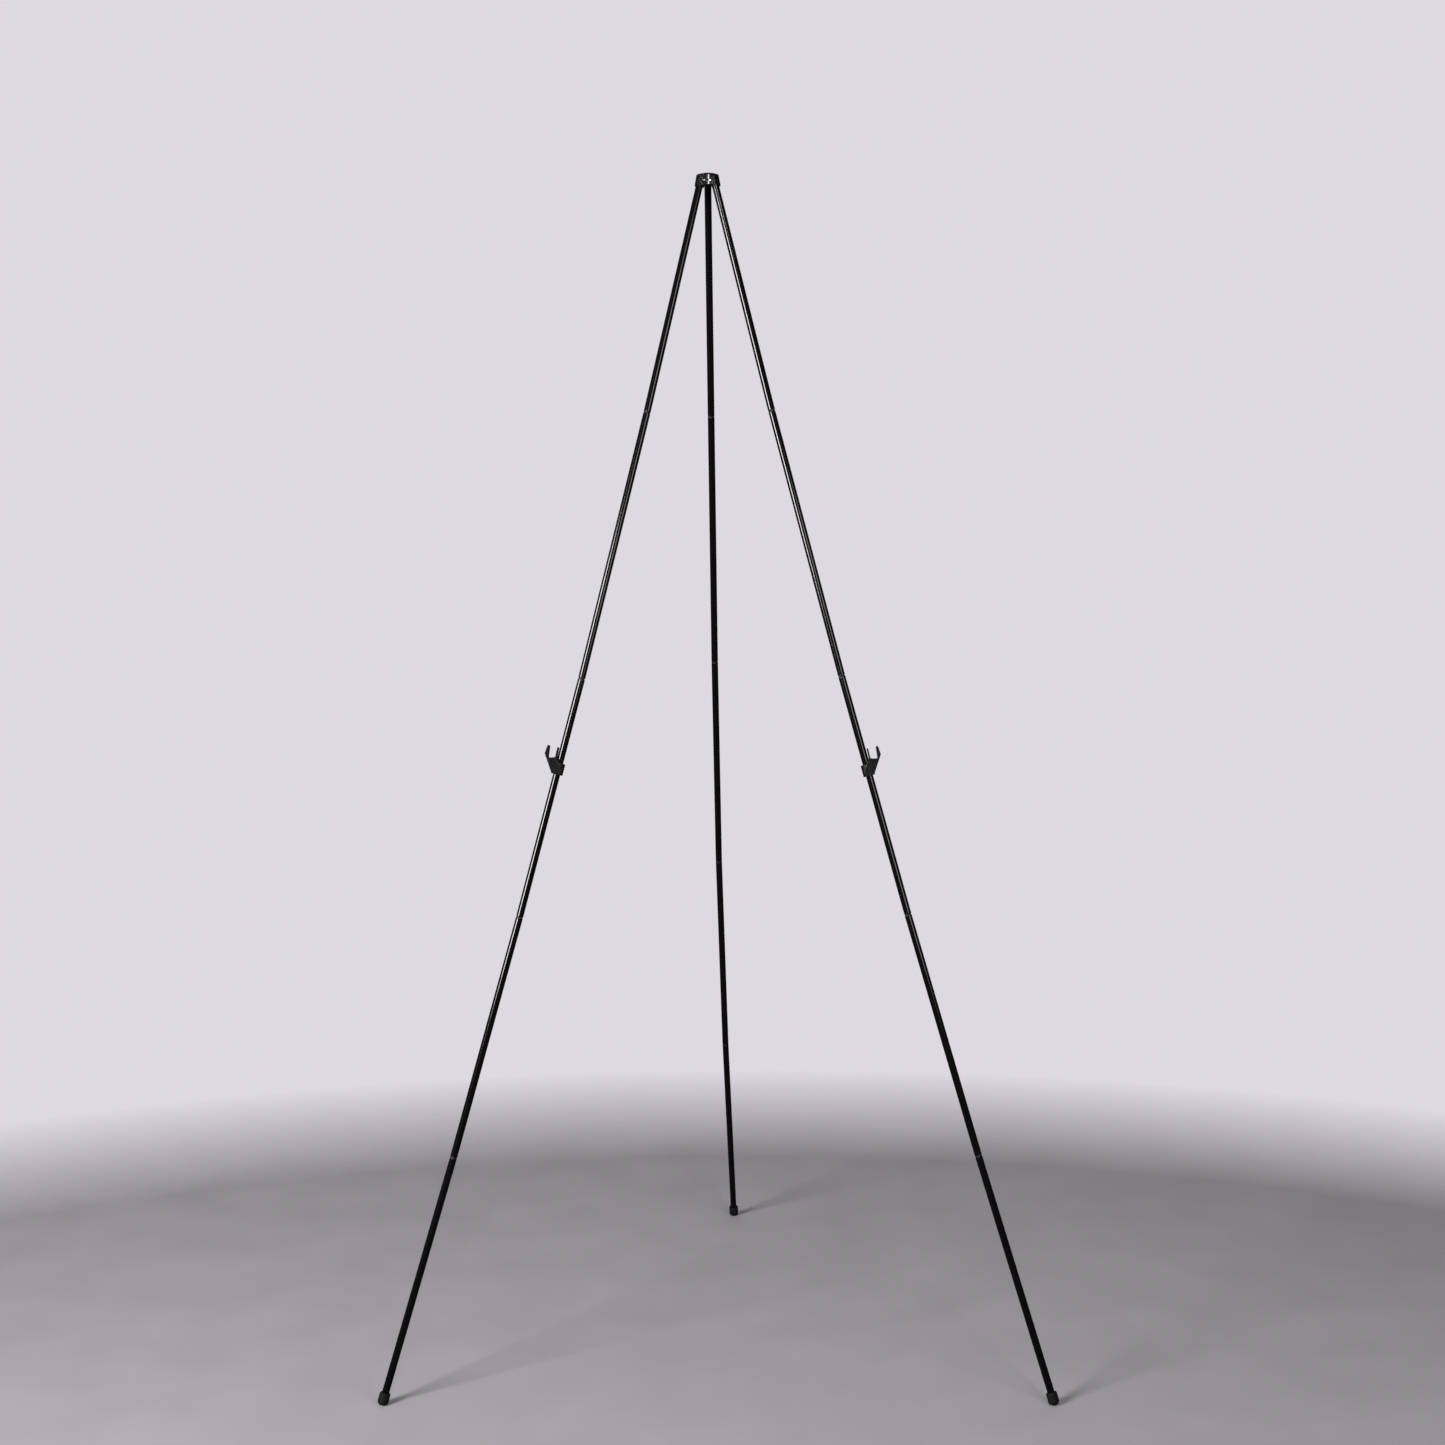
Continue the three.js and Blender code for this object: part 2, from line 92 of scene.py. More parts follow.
# Tubes and what is inside them
TUBE_RADIUS = 4.75 * MM
TUBE_BORE = 4.05 * MM
TUBE_EDGE = 0.58 * MM
WORN_LENGTH = 2.2 * MM  # how far from a tube's end its paint is rubbed
BORE_WEAR = 0.5  # wear inside a tube's end, where it is 1 on the outer rim
MIDWAY_WEAR = 0.45  # wear half way along the worn length
FERRULE_RADIUS = TUBE_BORE - 2 * FIT_GAP
FERRULE_BORE = 2.55 * MM
FERRULE_FIXED_LENGTH = 22 * MM
FERRULE_FREE_LENGTH = 20 * MM
FERRULE_LEAD_IN = 0.8 * MM
FERRULE_NOSE_EDGE = 0.5 * MM
SHOULDER_RADIUS = 4.3 * MM
SHOULDER_HEIGHT = 0.8 * MM
JOINT_GAP = SHOULDER_HEIGHT + 2 * FIT_GAP
JOINT_SHADE_REACH = 1.2 * MM  # how far the painted shade at a joint spreads along the ferrule

# Shock cord
CORD_RADIUS = 1.5 * MM
CORD_HOLE = CORD_RADIUS + FIT_GAP
CORD_STEP = 3 * MM
CORD_STRETCH_REACH = 45 * MM  # how far either side of a joint the cord gives
KNOT_RADIUS = 2.6 * MM
KNOT_STRAND = 0.8 * MM
KNOT_DEPTH = 1.6  # how far the strand weaves up and down, for a loop 3 wide
KNOT_STEPS = 72

# Hub
HUB_BASE_RADIUS = 17.65 * MM
HUB_TOP_RADIUS = 14.95 * MM
HUB_BODY_HEIGHT = 13.7 * MM
HUB_HEIGHT = 17.3 * MM
HUB_EDGE = 0.5 * MM
HUB_TOP_EDGE = HUB_EDGE / 2
MIDWAY_ROUND = 0.3  # how far in the middle of a quarter round stands, for a radius of 1
PIVOT_RADIUS = 10.7 * MM
PIVOT_ABOVE_HUB_BASE = 6 * MM
PIN_RADIUS = 1.3 * MM
PIN_HOLE_RADIUS = 1.42 * MM
PIN_HALF_LENGTH = 11.8 * MM
PIN_DOME_RADIUS = 4 * MM
SLOT_HALF_WIDTH = TUBE_RADIUS + 0.35 * MM
SLOT_INNER_END = 4.7 * MM
SLOT_CEILING = PIVOT_ABOVE_HUB_BASE + 5.4 * MM
SLOT_MOUTH_ROUNDING = 0.6 * MM
SLOT_END_ROUNDING = 0.7 * MM
FLUTE_RADIUS = 1.1 * MM
FLUTE_LIP = 0.2 * MM
FLUTE_ANGLES = (-34, -23, 0, 23, 34)  # degrees either side of the middle of a lobe
CAP_RIM_HEIGHT = 0.8 * MM
CAP_SPIGOT_RADIUS = 11.5 * MM
CAP_SPIGOT_DEPTH = 1.2 * MM
CAP_GATE_RADIUS = 1.5 * MM  # shallow dimple that moulding leaves in the middle of the cap
CAP_GATE_DEPTH = 0.25 * MM
CAP_GATE_TAPER = 0.85  # the dimple's floor, as a share of its mouth

# Plug at the top of each leg and anchor at the bottom
HEAD_TOP = 4 * MM
HEAD_BOTTOM = 5 * MM
HEAD_ROUNDING = 0.9 * MM
PLUG_RADIUS = TUBE_BORE - FIT_GAP
PLUG_DEPTH = 17 * MM
PLUG_END_EDGE = 0.4 * MM
KNOT_POCKET_RADIUS = 2.95 * MM
KNOT_POCKET_TOP = 8 * MM
KNOT_POCKET_HEIGHT = 5.4 * MM
KNOT_POCKET_TAPER = 1 * MM
ANCHOR_DEPTH = 9 * MM
ANCHOR_FLANGE = 1 * MM

# Feet
FOOT_RADIUS = 7.18 * MM
FOOT_HEIGHT = 16.5 * MM
FOOT_TOP_RADIUS = 6.1 * MM
FOOT_TOP_SLOPE = 1.4 * MM
FOOT_SOLE = 3.5 * MM  # rubber between the cord's knot and the end of the leg's axis
FOOT_CORNER = 5.5 * MM
FOOT_TIP = 0.15 * MM  # how far the tip runs past the floor, along the leg
FOOT_SHOULDER_EDGE = 0.9 * MM
FOOT_MOUTH_EDGE = 0.35 * MM
KNOT_ROOM = 5.8 * MM
KNOT_ROOM_EDGE = 0.6 * MM
DUSTY_HEIGHT = 4 * MM  # how far up from the floor a foot is dusty
TUBE_END = FOOT_SOLE + KNOT_ROOM + ANCHOR_FLANGE + FIT_GAP

# Holders
HOLDER_SECTION = 2  # counted from 0 at the hub
# How far each holder's collar is below the joint above it
HOLDER_FROM_JOINT = {"left": 123.5 * MM, "right": 129 * MM}
HOLDER_TURN = math.radians(30)
GRIP_BORE = TUBE_RADIUS + FIT_GAP
GRIP_RADIUS = 6.1 * MM
GRIP_LENGTH = 14.4 * MM
COLLAR_BORE = GRIP_RADIUS + FIT_GAP
COLLAR_RADIUS = 7.85 * MM
COLLAR_LENGTH = 15.5 * MM
COLLAR_EDGE = 0.6 * MM
HOOK_THICKNESS = 16 * MM
HOOK_EDGE = 0.8 * MM
NOTCH_LEAN = math.radians(16.5)
NOTCH_WIDTH = 9.4 * MM
NOTCH_CORNER = 2.2 * MM
NOTCH_FLOOR = (11.9 * MM, 12.4 * MM)
# Side view of the hook as [across, up, corner radius] in mm about the collar's middle
HOOK_FOOT = ((-5.3, 0, 0), (-5.6, -7.75, 0), (6.6, -7.75, 1.5), (22, 15.6, 3))
HOOK_LONG_TIP = ((21.05, 27.4, 1.3), (18.35, 27.4, 1.3))
HOOK_SHORT_TIP = ((7.75, 27.7, 0.85), (5.95, 27.7, 0.85))
HOOK_BACK = ((5.5, 15.2, 1), (4, 12.8, 1))

# How finely round shapes are cut
TUBE_FACETS = 48
HUB_FACETS = 144
FOOT_FACETS = 72
PIN_FACETS = 40
CORD_FACETS = 12
ARC_STEPS = 5
FLUTE_STEPS = 10
HOOK_EDGE_STEPS = 4
FLOOR_FACETS = 96
SMOOTH_ANGLE = math.radians(32)

# Camera: distance from the hub's centre line, height above the floor, and aim
CAMERA_DISTANCE = 2.952
CAMERA_HEIGHT = 1.1587
CAMERA_AZIMUTH = math.radians(1.906)
CAMERA_YAW = math.radians(-0.213)
CAMERA_PITCH = math.radians(5.677)
CAMERA_ROLL = math.radians(-0.718)
CAMERA_LENS = 53.74
SENSOR_WIDTH = 36

# Floor: solid out to one distance from its centre, faded out by another
FLOOR_CENTRE = (0, -1.6, -0.1 * MM)
FLOOR_SOLID = 2.3
FLOOR_END = 2.9
FLOOR_RADIUS = 1.1 * FLOOR_END
FLOOR_MOTTLE = 0.12

# What the camera sees behind the easel, and the dimmer room that lights it
BACKDROP_COLOUR = (0.73, 0.695, 0.75, 1)
ROOM_COLOUR = (0.62, 0.61, 0.64, 1)
ROOM_STRENGTH = 0.08

# Soft lights: azimuth in degrees from -Y towards +X, distance, height, width, tall, watts.
# The easel mirrors the first three, and is only lit by the last.
LIGHTS_AIM_HEIGHT = 0.9
MIRRORED_LIGHTS = {
    "key": (-44, 3.0, 1.68, 1.0, 1.1, 140),
    "fill": (33, 2.4, 1.55, 0.9, 1.1, 20),
    "upper": (12, 2.6, 3.07, 0.36, 0.5, 18),
}
UNMIRRORED_LIGHTS = {"top": (180, 1.2, 3.4, 2.4, 2.4, 26)}

# Colours in linear light. A pair is the two ends of a finish's own mottle.
TUBE_PAINT = ((0.0014, 0.0014, 0.0016), (0.0026, 0.0026, 0.003))
TUBE_DUST = (0.09, 0.088, 0.085)
TUBE_BARE_STEEL = (0.36, 0.37, 0.38)
HUB_PLASTIC = ((0.006, 0.006, 0.0065), (0.011, 0.011, 0.012))
TRIM_PLASTIC = ((0.004, 0.004, 0.0045), (0.009, 0.009, 0.0095))
TRIM_SCUFF = (0.07, 0.07, 0.072)
RUBBER = ((0.0035, 0.0035, 0.0035), (0.008, 0.008, 0.0085))
RUBBER_DUST = (0.022, 0.0215, 0.021)
PIN_STEEL = ((0.62, 0.62, 0.61), (0.78, 0.78, 0.79))
ZINC = ((0.42, 0.43, 0.45), (0.6, 0.6, 0.6))
# Painted shade: the dark colour laid on a ferrule at the joint, where the gap between the tubes is in shade
ZINC_JOINT_SHADE = (0.012, 0.012, 0.013)
CORD_STRANDS = ((0.018, 0.018, 0.02), (0.05, 0.05, 0.054))
CORD_TRACER = (0.55, 0.55, 0.52)
FLOOR_TONES = ((0.345, 0.325, 0.35), (0.385, 0.362, 0.39))

BODY_OF = {
    node: body
    for body, nodes in frame["record"]["behaviour"]["bodies"].items()
    for node in nodes
}


# ------------------------------ places


@functools.cache
def hub_axis():
    """Where the hub's centre line crosses the floor: the middle of its round cap."""
    low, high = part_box("hub_cap")
    return Vector(((low.x + high.x) / 2, (low.y + high.y) / 2, 0))


def hub_matrix():
    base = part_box("hub_body")[0].z
    return Matrix.Translation(hub_axis() + Vector((0, 0, base)))


@functools.cache
def pivot_matrix(leg):
    """At a leg's pivot, with +X pointing the way the leg spreads."""
    turn = Matrix.Rotation(math.radians(LEG_AZIMUTHS[leg] - 90), 4, "Z")
    return hub_matrix() @ turn @ Matrix.Translation((PIVOT_RADIUS, 0, PIVOT_ABOVE_HUB_BASE))


@functools.cache
def section_matrix(leg, index):
    """At the top of one section of a leg, with +Z up the tube."""
    sway = Matrix.Rotation(math.radians(SWAY[leg][index]), 4, "X")
    if index == 0:
        return pivot_matrix(leg) @ sway @ Matrix.Rotation(-FIRST_LEAN, 4, "Y")
    joint = lowered(section_matrix(leg, index - 1), SECTION_LENGTHS[index - 1])
    return joint @ sway @ Matrix.Rotation(-LEAN_PER_JOINT, 4, "Y")


def lowered(place, depth):
    return place @ Matrix.Translation((0, 0, -depth))


# ------------------------------ outlines


def rounded(corners, closed=False):
    """Points of an outline given as (x, y, radius), with each corner rounded off."""
    points = []
    for i, (x, y, radius) in enumerate(corners):
        corner = Vector((x, y))
        is_end = not closed and i in (0, len(corners) - 1)
        if radius == 0 or is_end:
            points.append(corner)
            continue
        before = (Vector(corners[i - 1][:2]) - corner).normalized()
        after = (Vector(corners[(i + 1) % len(corners)][:2]) - corner).normalized()
        half_angle = before.angle(after) / 2
        centre = corner + (before + after).normalized() * radius / math.sin(half_angle)
        reach = radius / math.tan(half_angle)
        start = corner + before * reach - centre
        end = corner + after * reach - centre
        sweep = start.angle(end)
        for step in range(ARC_STEPS + 1):
            share = step / ARC_STEPS
            blend = start * math.sin((1 - share) * sweep) + end * math.sin(share * sweep)
            points.append(centre + blend / math.sin(sweep))
    return points


def arc(centre, radius, first, last, steps=ARC_STEPS):
    """Points on an arc between two angles in radians."""
    angles = [first + (last - first) * i / steps for i in range(steps + 1)]
    return [Vector(centre) + radius * Vector((math.cos(a), math.sin(a))) for a in angles]


# ------------------------------ mesh helpers


def turned(profile, facets, ring=False, values=None):
    """(radius, height) points turned about Z. values gives each point's mark for wear and painted shade."""
    form = bmesh.new()
    wear_and_shade = form.verts.layers.float.new("wear_and_shade")
    rows = []
    for i, (radius, height) in enumerate(profile):
        count = facets if radius > 0 else 1
        row = []
        for k in range(count):
            angle = 2 * math.pi * k / facets
            vert = form.verts.new((radius * math.cos(angle), radius * math.sin(angle), height))
            vert[wear_and_shade] = values[i] if values else 0
            row.append(vert)
        rows.append(row)
    following = rows[1:] + ([rows[0]] if ring else [])
    for lower, upper in zip(rows, following):
        bridge(form, lower, upper)
    return form


def bridge(form, lower, upper):
    """Faces between two closed rows of points, either of which may be a single point."""
    count = max(len(lower), len(upper))
    for k in range(count):
        after = (k + 1) % count
        corners = [
            lower[k % len(lower)],
            lower[after % len(lower)],
            upper[after % len(upper)],
            upper[k % len(upper)],
        ]
        corners = list(dict.fromkeys(corners))
        if len(corners) > 2:
            form.faces.new(corners)


def to_object(form, name, place=None, weighted=False):
    """Closes a bmesh into an object, smooth but for its sharp corners."""
    bmesh.ops.recalc_face_normals(form, faces=form.faces)
    mesh = bpy.data.meshes.new(name)
    form.to_mesh(mesh)
    form.free()
    mesh.shade_smooth()
    mesh.set_sharp_from_angle(angle=SMOOTH_ANGLE)
    made = bpy.data.objects.new(name, mesh)
    bpy.context.scene.collection.objects.link(made)
    if place:
        made.matrix_world = place
    if weighted:
        modifier = made.modifiers.new("even_shading", "WEIGHTED_NORMAL")
        modifier.keep_sharp = True
    return made


def combine(base, tool, operation):
    """Joins tool to base, or cuts it away, and removes tool."""
    modifier = base.modifiers.new("combine", "BOOLEAN")
    modifier.object = tool
    modifier.operation = operation
    modifier.solver = "EXACT"
    bpy.context.view_layer.update()
    evaluated = base.evaluated_get(bpy.context.evaluated_depsgraph_get())
    mesh = bpy.data.meshes.new_from_object(evaluated)
    base.modifiers.remove(modifier)
    base.data = mesh
    bpy.data.objects.remove(tool)


def as_form(made):
    """The object's mesh as a bmesh, after which the object is gone."""
    form = bmesh.new()
    form.from_mesh(made.data)
    bpy.data.objects.remove(made)
    return form


def cross_rod(radius, half_length, facets):
    """A rod along Y."""
    upper = [(radius, half_length), (0, half_length)]
    lower = [(0, -half_length), (radius, -half_length)]
    form = turned(lower + upper, facets)
    form.transform(Matrix.Rotation(math.pi / 2, 4, "X"))
    return form


def stand_for(made, node, slot, finishes):
    """made takes a CAD node's place, on the same body and in the slot's finish."""
    made.data.materials.clear()
    made.data.materials.append(finishes[slot])
    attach(made, BODY_OF[node])
    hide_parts(node)
    return made


# ------------------------------ material helpers

# Places of the Mix node's sockets for colours, which share their names with others
MIX_SHARE = 0
MIX_FIRST_COLOUR = 6
MIX_SECOND_COLOUR = 7
MIX_COLOUR = 2


class Finish:
    """A procedural material. fixed holds the values that are the same all over."""

    def __init__(self, name, fixed):
        self.material = bpy.data.materials.new(name)
        self.material.use_nodes = True
        self.tree = self.material.node_tree
        self.shader = self.tree.nodes["Principled BSDF"]
        for socket, value in fixed.items():
            self.shader.inputs[socket].default_value = value
        coordinates = self.tree.nodes.new("ShaderNodeTexCoord")
        self.place = coordinates.outputs["Object"]
        self.bumps = None

    def add(self, kind, inputs, **settings):
        """A new node, whose inputs are links where they come from other nodes."""
        node = self.tree.nodes.new(kind)
        for name, value in settings.items():
            setattr(node, name, value)
        for socket, value in inputs.items():
            if isinstance(value, bpy.types.NodeSocket):
                self.tree.links.new(value, node.inputs[socket])
            else:
                node.inputs[socket].default_value = value
        return node

    def stretched(self, factors):
        """Object coordinates scaled by a factor on each axis."""
        mapping = self.add("ShaderNodeMapping", {"Vector": self.place, "Scale": factors})
        return mapping.outputs["Vector"]

    def noise(self, grain, detail, vector=None):
        """Noise whose features are about grain metres across."""
        inputs = {"Vector": vector or self.place, "Scale": 1 / grain, "Detail": detail}
        return self.add("ShaderNodeTexNoise", inputs).outputs["Fac"]

    def cells(self, grain):
        """Distance from the middle of cells about grain metres across."""
        inputs = {"Vector": self.place, "Scale": 1 / grain}
        return self.add("ShaderNodeTexVoronoi", inputs).outputs["Distance"]

    def between(self, value, low, high, new_low=0.0, new_high=1.0):
        """value's range low to high, spread over new_low to new_high and clamped."""
        ranges = {"From Min": low, "From Max": high, "To Min": new_low, "To Max": new_high}
        node = self.add("ShaderNodeMapRange", {"Value": value, **ranges}, clamp=True)
        return node.outputs["Result"]

    def maths(self, operation, first, second):
        node = self.add("ShaderNodeMath", {0: first, 1: second}, operation=operation)
        return node.outputs["Value"]

    def colours(self, share, first, second):
        """first where share is 0, second where it is 1."""
        ends = {MIX_FIRST_COLOUR: first, MIX_SECOND_COLOUR: second}
        for socket, value in ends.items():
            if not isinstance(value, bpy.types.NodeSocket):
                ends[socket] = (*value, 1)
        node = self.add("ShaderNodeMix", {MIX_SHARE: share, **ends}, data_type="RGBA")
        return node.outputs[MIX_COLOUR]

    def wear_and_shade_mark(self):
        """How worn, dusty or rubbed each part of the mesh is, from 0 to 1, and on the ferrules how much
        painted shade lies at the joint.
        """
        return self.add("ShaderNodeAttribute", {}, attribute_name="wear_and_shade").outputs["Fac"]

    def bump(self, height, depth):
        """Adds relief of that depth in metres, on top of any before it."""
        inputs = {"Height": height, "Distance": depth, "Strength": 1.0}
        if self.bumps:
            inputs["Normal"] = self.bumps
        self.bumps = self.add("ShaderNodeBump", inputs).outputs["Normal"]

    def drive(self, **sockets):
        """Links node outputs to the shader's sockets, then the bumps."""
        for name, value in sockets.items():
            self.tree.links.new(value, self.shader.inputs[name.replace("_", " ")])
        if self.bumps:
            self.tree.links.new(self.bumps, self.shader.inputs["Normal"])
        return self.material


# ------------------------------ materials


def make_tube_paint():
    """Gloss black stoving paint with fine orange peel, rubbed through at the tube ends."""
    finish = Finish("gloss_tube_paint", {"IOR": 1.5, "Specular IOR Level": 0.36})
    clouds = finish.noise(45 * MM, detail=4)
    smears = finish.noise(9 * MM, detail=4, vector=finish.stretched((1, 1, 0.12)))
    scratches = finish.noise(0.5 * MM, detail=2, vector=finish.stretched((1, 1, 0.02)))
    specks = finish.noise(0.7 * MM, detail=1)
    chips = finish.noise(0.8 * MM, detail=4)
    paint = finish.colours(clouds, *TUBE_PAINT)
    dust = finish.between(specks, 0.76, 0.82, 0, 0.12)
    dusty = finish.colours(dust, paint, TUBE_DUST)
    bare_edge = finish.between(finish.maths("ADD", finish.wear_and_shade_mark(), chips), 1.68, 1.78)
    colour = finish.colours(bare_edge, dusty, TUBE_BARE_STEEL)
    smeared = finish.between(smears, 0.35, 0.7, 0.11, 0.14)
    scratched = finish.between(scratches, 0.66, 0.78, 0, 0.05)
    rubbed = finish.maths("MULTIPLY", finish.wear_and_shade_mark(), 0.35)
    roughness = finish.maths("ADD", finish.maths("ADD", smeared, scratched), rubbed)
    finish.bump(finish.noise(1.3 * MM, detail=2), 0.002 * MM)
    return finish.drive(Base_Color=colour, Roughness=roughness, Metallic=bare_edge)


def make_hub_plastic():
    """Glossy black moulding with faint flow marks and a fine grain."""
    finish = Finish("glossy_hub_plastic", {"IOR": 1.53, "Coat Weight": 0.15})
    flow = finish.noise(7 * MM, detail=3, vector=finish.stretched((1, 1, 0.35)))
    grain = finish.noise(0.25 * MM, detail=2)
    handling = finish.noise(3 * MM, detail=5)
    colour = finish.colours(flow, *HUB_PLASTIC)
    roughness = finish.between(handling, 0.35, 0.7, 0.12, 0.2)
    finish.bump(flow, 0.006 * MM)
    finish.bump(grain, 0.0006 * MM)
    return finish.drive(Base_Color=colour, Roughness=roughness)


def make_trim_plastic():
    """Satin black nylon with a spark-eroded grain, polished where boards rub it."""
    finish = Finish("satin_trim_plastic", {"IOR": 1.5, "Specular IOR Level": 0.2})
    grain = finish.cells(0.45 * MM)
    mottle = finish.noise(4 * MM, detail=4)
    scuffs = finish.noise(0.6 * MM, detail=3, vector=finish.stretched((0.15, 1, 1)))
    scuffed = finish.between(scuffs, 0.64, 0.74, 0, 0.6)
    rubbed = finish.maths("MULTIPLY", finish.wear_and_shade_mark(), scuffed)
    plain = finish.colours(mottle, *TRIM_PLASTIC)
    colour = finish.colours(rubbed, plain, TRIM_SCUFF)
    satin = finish.between(mottle, 0.3, 0.7, 0.3, 0.4)
    polish = finish.maths("MULTIPLY", finish.wear_and_shade_mark(), 0.12)
    finish.bump(grain, 0.01 * MM)
    return finish.drive(Base_Color=colour, Roughness=finish.maths("SUBTRACT", satin, polish))


def make_rubber():
    """Matt black rubber, dusty where it meets the floor."""
    finish = Finish("black_rubber", {"IOR": 1.5, "Specular IOR Level": 0.15})
    pores = finish.noise(0.35 * MM, detail=3)
    bloom = finish.noise(3.5 * MM, detail=5)
    rubber = finish.colours(bloom, *RUBBER)
    patchy = finish.between(finish.noise(1.1 * MM, detail=5), 0.3, 0.7, 0.15, 1)
    dust = finish.maths("MULTIPLY", finish.wear_and_shade_mark(), patchy)
    colour = finish.colours(dust, rubber, RUBBER_DUST)
    roughness = finish.between(bloom, 0.3, 0.7, 0.62, 0.85)
    finish.bump(pores, 0.02 * MM)
    finish.bump(bloom, 0.03 * MM)
    return finish.drive(Base_Color=colour, Roughness=roughness)


def make_pin_steel():
    """Bright turned steel with rings on its faces and fine scratches."""
    finish = Finish("bright_pin_steel", {"Metallic": 1.0})
    turning = {"Vector": finish.place, "Scale": 1 / (1.6 * MM), "Distortion": 0.6}
    ring_wave = finish.add(
        "ShaderNodeTexWave", turning, wave_type="RINGS", rings_direction="Y"
    )
    rings = ring_wave.outputs["Fac"]
    stain = finish.noise(0.9 * MM, detail=4)
    colour = finish.colours(stain, *PIN_STEEL)
    roughness = finish.between(stain, 0.3, 0.7, 0.3, 0.4)
    finish.bump(rings, 0.004 * MM)
    return finish.drive(Base_Color=colour, Roughness=roughness)


def make_zinc_steel():
    """Zinc-plated tube with draw marks, a patchy bluish bloom and patchy painted shade at the joint, darker
    and rougher there.
    """
    finish = Finish("zinc_ferrule_steel", {"Metallic": 1.0})
    spangle = finish.cells(1.6 * MM)
    draw = finish.noise(0.3 * MM, detail=2, vector=finish.stretched((1, 1, 0.03)))
    bloom = finish.noise(5 * MM, detail=4)
    zinc = finish.colours(bloom, *ZINC)
    dull = finish.between(spangle, 0.1, 0.8, 0.24, 0.36)
    marked = finish.between(draw, 0.5, 0.7, 0, 0.12)
    # Painted shade at the joint, made patchy: it darkens the zinc and makes it rougher
    shade_patches = finish.between(finish.noise(0.7 * MM, detail=4), 0.25, 0.6, 0.8, 1)
    joint_shade = finish.maths("MULTIPLY", finish.wear_and_shade_mark(), shade_patches)
    colour = finish.colours(joint_shade, zinc, ZINC_JOINT_SHADE)
    plain = finish.maths("ADD", dull, marked)
    roughness = finish.maths("ADD", plain, finish.maths("MULTIPLY", joint_shade, 0.3))
    finish.bump(draw, 0.006 * MM)
    return finish.drive(Base_Color=colour, Roughness=roughness)


def make_cord_braid():
    """Braided polyester sheath: two sets of strands that cross, with a pale tracer."""
    finish = Finish("cord_braid", {"Sheen Weight": 0.3, "Sheen Roughness": 0.6})
    uv = finish.add("ShaderNodeUVMap", {}, uv_map="braid").outputs["UV"]

    def bands(slope, scale):
        """Waves that run round the cord at a slope in degrees."""
        turn = {"Vector": uv, "Rotation": (0, 0, math.radians(slope))}
        sloping = finish.add("ShaderNodeMapping", turn).outputs["Vector"]
        wave = {"Vector": sloping, "Scale": scale}
        return finish.add("ShaderNodeTexWave", wave, bands_direction="X").outputs["Fac"]

    weave = finish.maths("MAXIMUM", bands(45, 1.8), bands(-45, 1.8))
    tracer = finish.between(bands(45, 0.45), 0.93, 0.97)
    fibres = finish.noise(0.25 * MM, detail=3)
    dark = finish.colours(fibres, *CORD_STRANDS)
    colour = finish.colours(tracer, dark, CORD_TRACER)
    roughness = finish.between(fibres, 0.3, 0.7, 0.75, 0.95)
    finish.bump(weave, 0.12 * MM)
    return finish.drive(Base_Color=colour, Roughness=roughness)


# ------------------------------ hub


def hub_radius_at(height):
    share = height / (HUB_BODY_HEIGHT + CAP_RIM_HEIGHT)
    return HUB_BASE_RADIUS + (HUB_TOP_RADIUS - HUB_BASE_RADIUS) * share


def slot_outline(radius, ease):
    """One slot along +X, from one corner of its mouth round to the other."""
    half = SLOT_HALF_WIDTH + ease
    inner = SLOT_INNER_END - ease
    rounding = SLOT_MOUTH_ROUNDING
    mouth_y = half + rounding
    mouth_x = math.sqrt((radius - rounding) ** 2 - mouth_y**2)
    tangent = math.atan2(mouth_y, mouth_x)
    quarter = math.pi / 2
    end_x, end_y = inner + SLOT_END_ROUNDING, half - SLOT_END_ROUNDING
    points = arc((mouth_x, -mouth_y), rounding, -tangent, quarter)
    points += arc((end_x, -end_y), SLOT_END_ROUNDING, 3 * quarter, 2 * quarter)
    points += arc((end_x, end_y), SLOT_END_ROUNDING, 2 * quarter, quarter)
    points += arc((mouth_x, mouth_y), rounding, -quarter, tangent)
    return points, tangent


def lobe_outline(radius, flute_share, start, end):
    """One lobe between two slots, as (angle, radius) with its flutes."""
    lip = FLUTE_LIP / radius
    middle = (start + end) / 2
    edge = math.asin(FLUTE_RADIUS / (2 * radius))
    points = []
    since = start
    for flute in FLUTE_ANGLES:
        centre = middle + math.radians(flute)
        half_width = math.atan2(
            FLUTE_RADIUS * math.cos(edge), radius - FLUTE_RADIUS * math.sin(edge)
        )
        until = centre - half_width - lip
        points += [(since + (until - since) * i / ARC_STEPS, radius) for i in range(ARC_STEPS + 1)]
        first = edge + FLUTE_LIP / FLUTE_RADIUS
        for i in range(FLUTE_STEPS + 1):
            turn = first + (math.pi - 2 * first) * i / FLUTE_STEPS
            across = -FLUTE_RADIUS * math.cos(turn)
            along = radius - FLUTE_RADIUS * math.sin(turn)
            depth = radius - math.hypot(across, along)
            points.append((centre + math.atan2(across, along), radius - depth * flute_share))
        since = centre + half_width + lip
    points += [(since + (end - since) * i / ARC_STEPS, radius) for i in range(ARC_STEPS + 1)]
    return points[1:-1]


def hub_outline(height, inset, flute_share):
    """The hub's plan at one height: (slot points, lobe points) for each leg in turn."""
    radius = hub_radius_at(height) - inset
    parts = []
    third = 2 * math.pi / len(LEG_AZIMUTHS)
    heading = min(math.radians(azimuth - 90) for azimuth in LEG_AZIMUTHS.values())
    for _ in LEG_AZIMUTHS:
        slot, tangent = slot_outline(radius, inset / 2)
        turn = Matrix.Rotation(heading, 2)
        slot_points = [turn @ point for point in slot]
        lobe = lobe_outline(radius, flute_share, heading + tangent, heading + third - tangent)
        lobe_points = [Vector((r * math.cos(a), r * math.sin(a))) for a, r in lobe]
        parts.append((slot_points, lobe_points))
        heading += third
    return parts


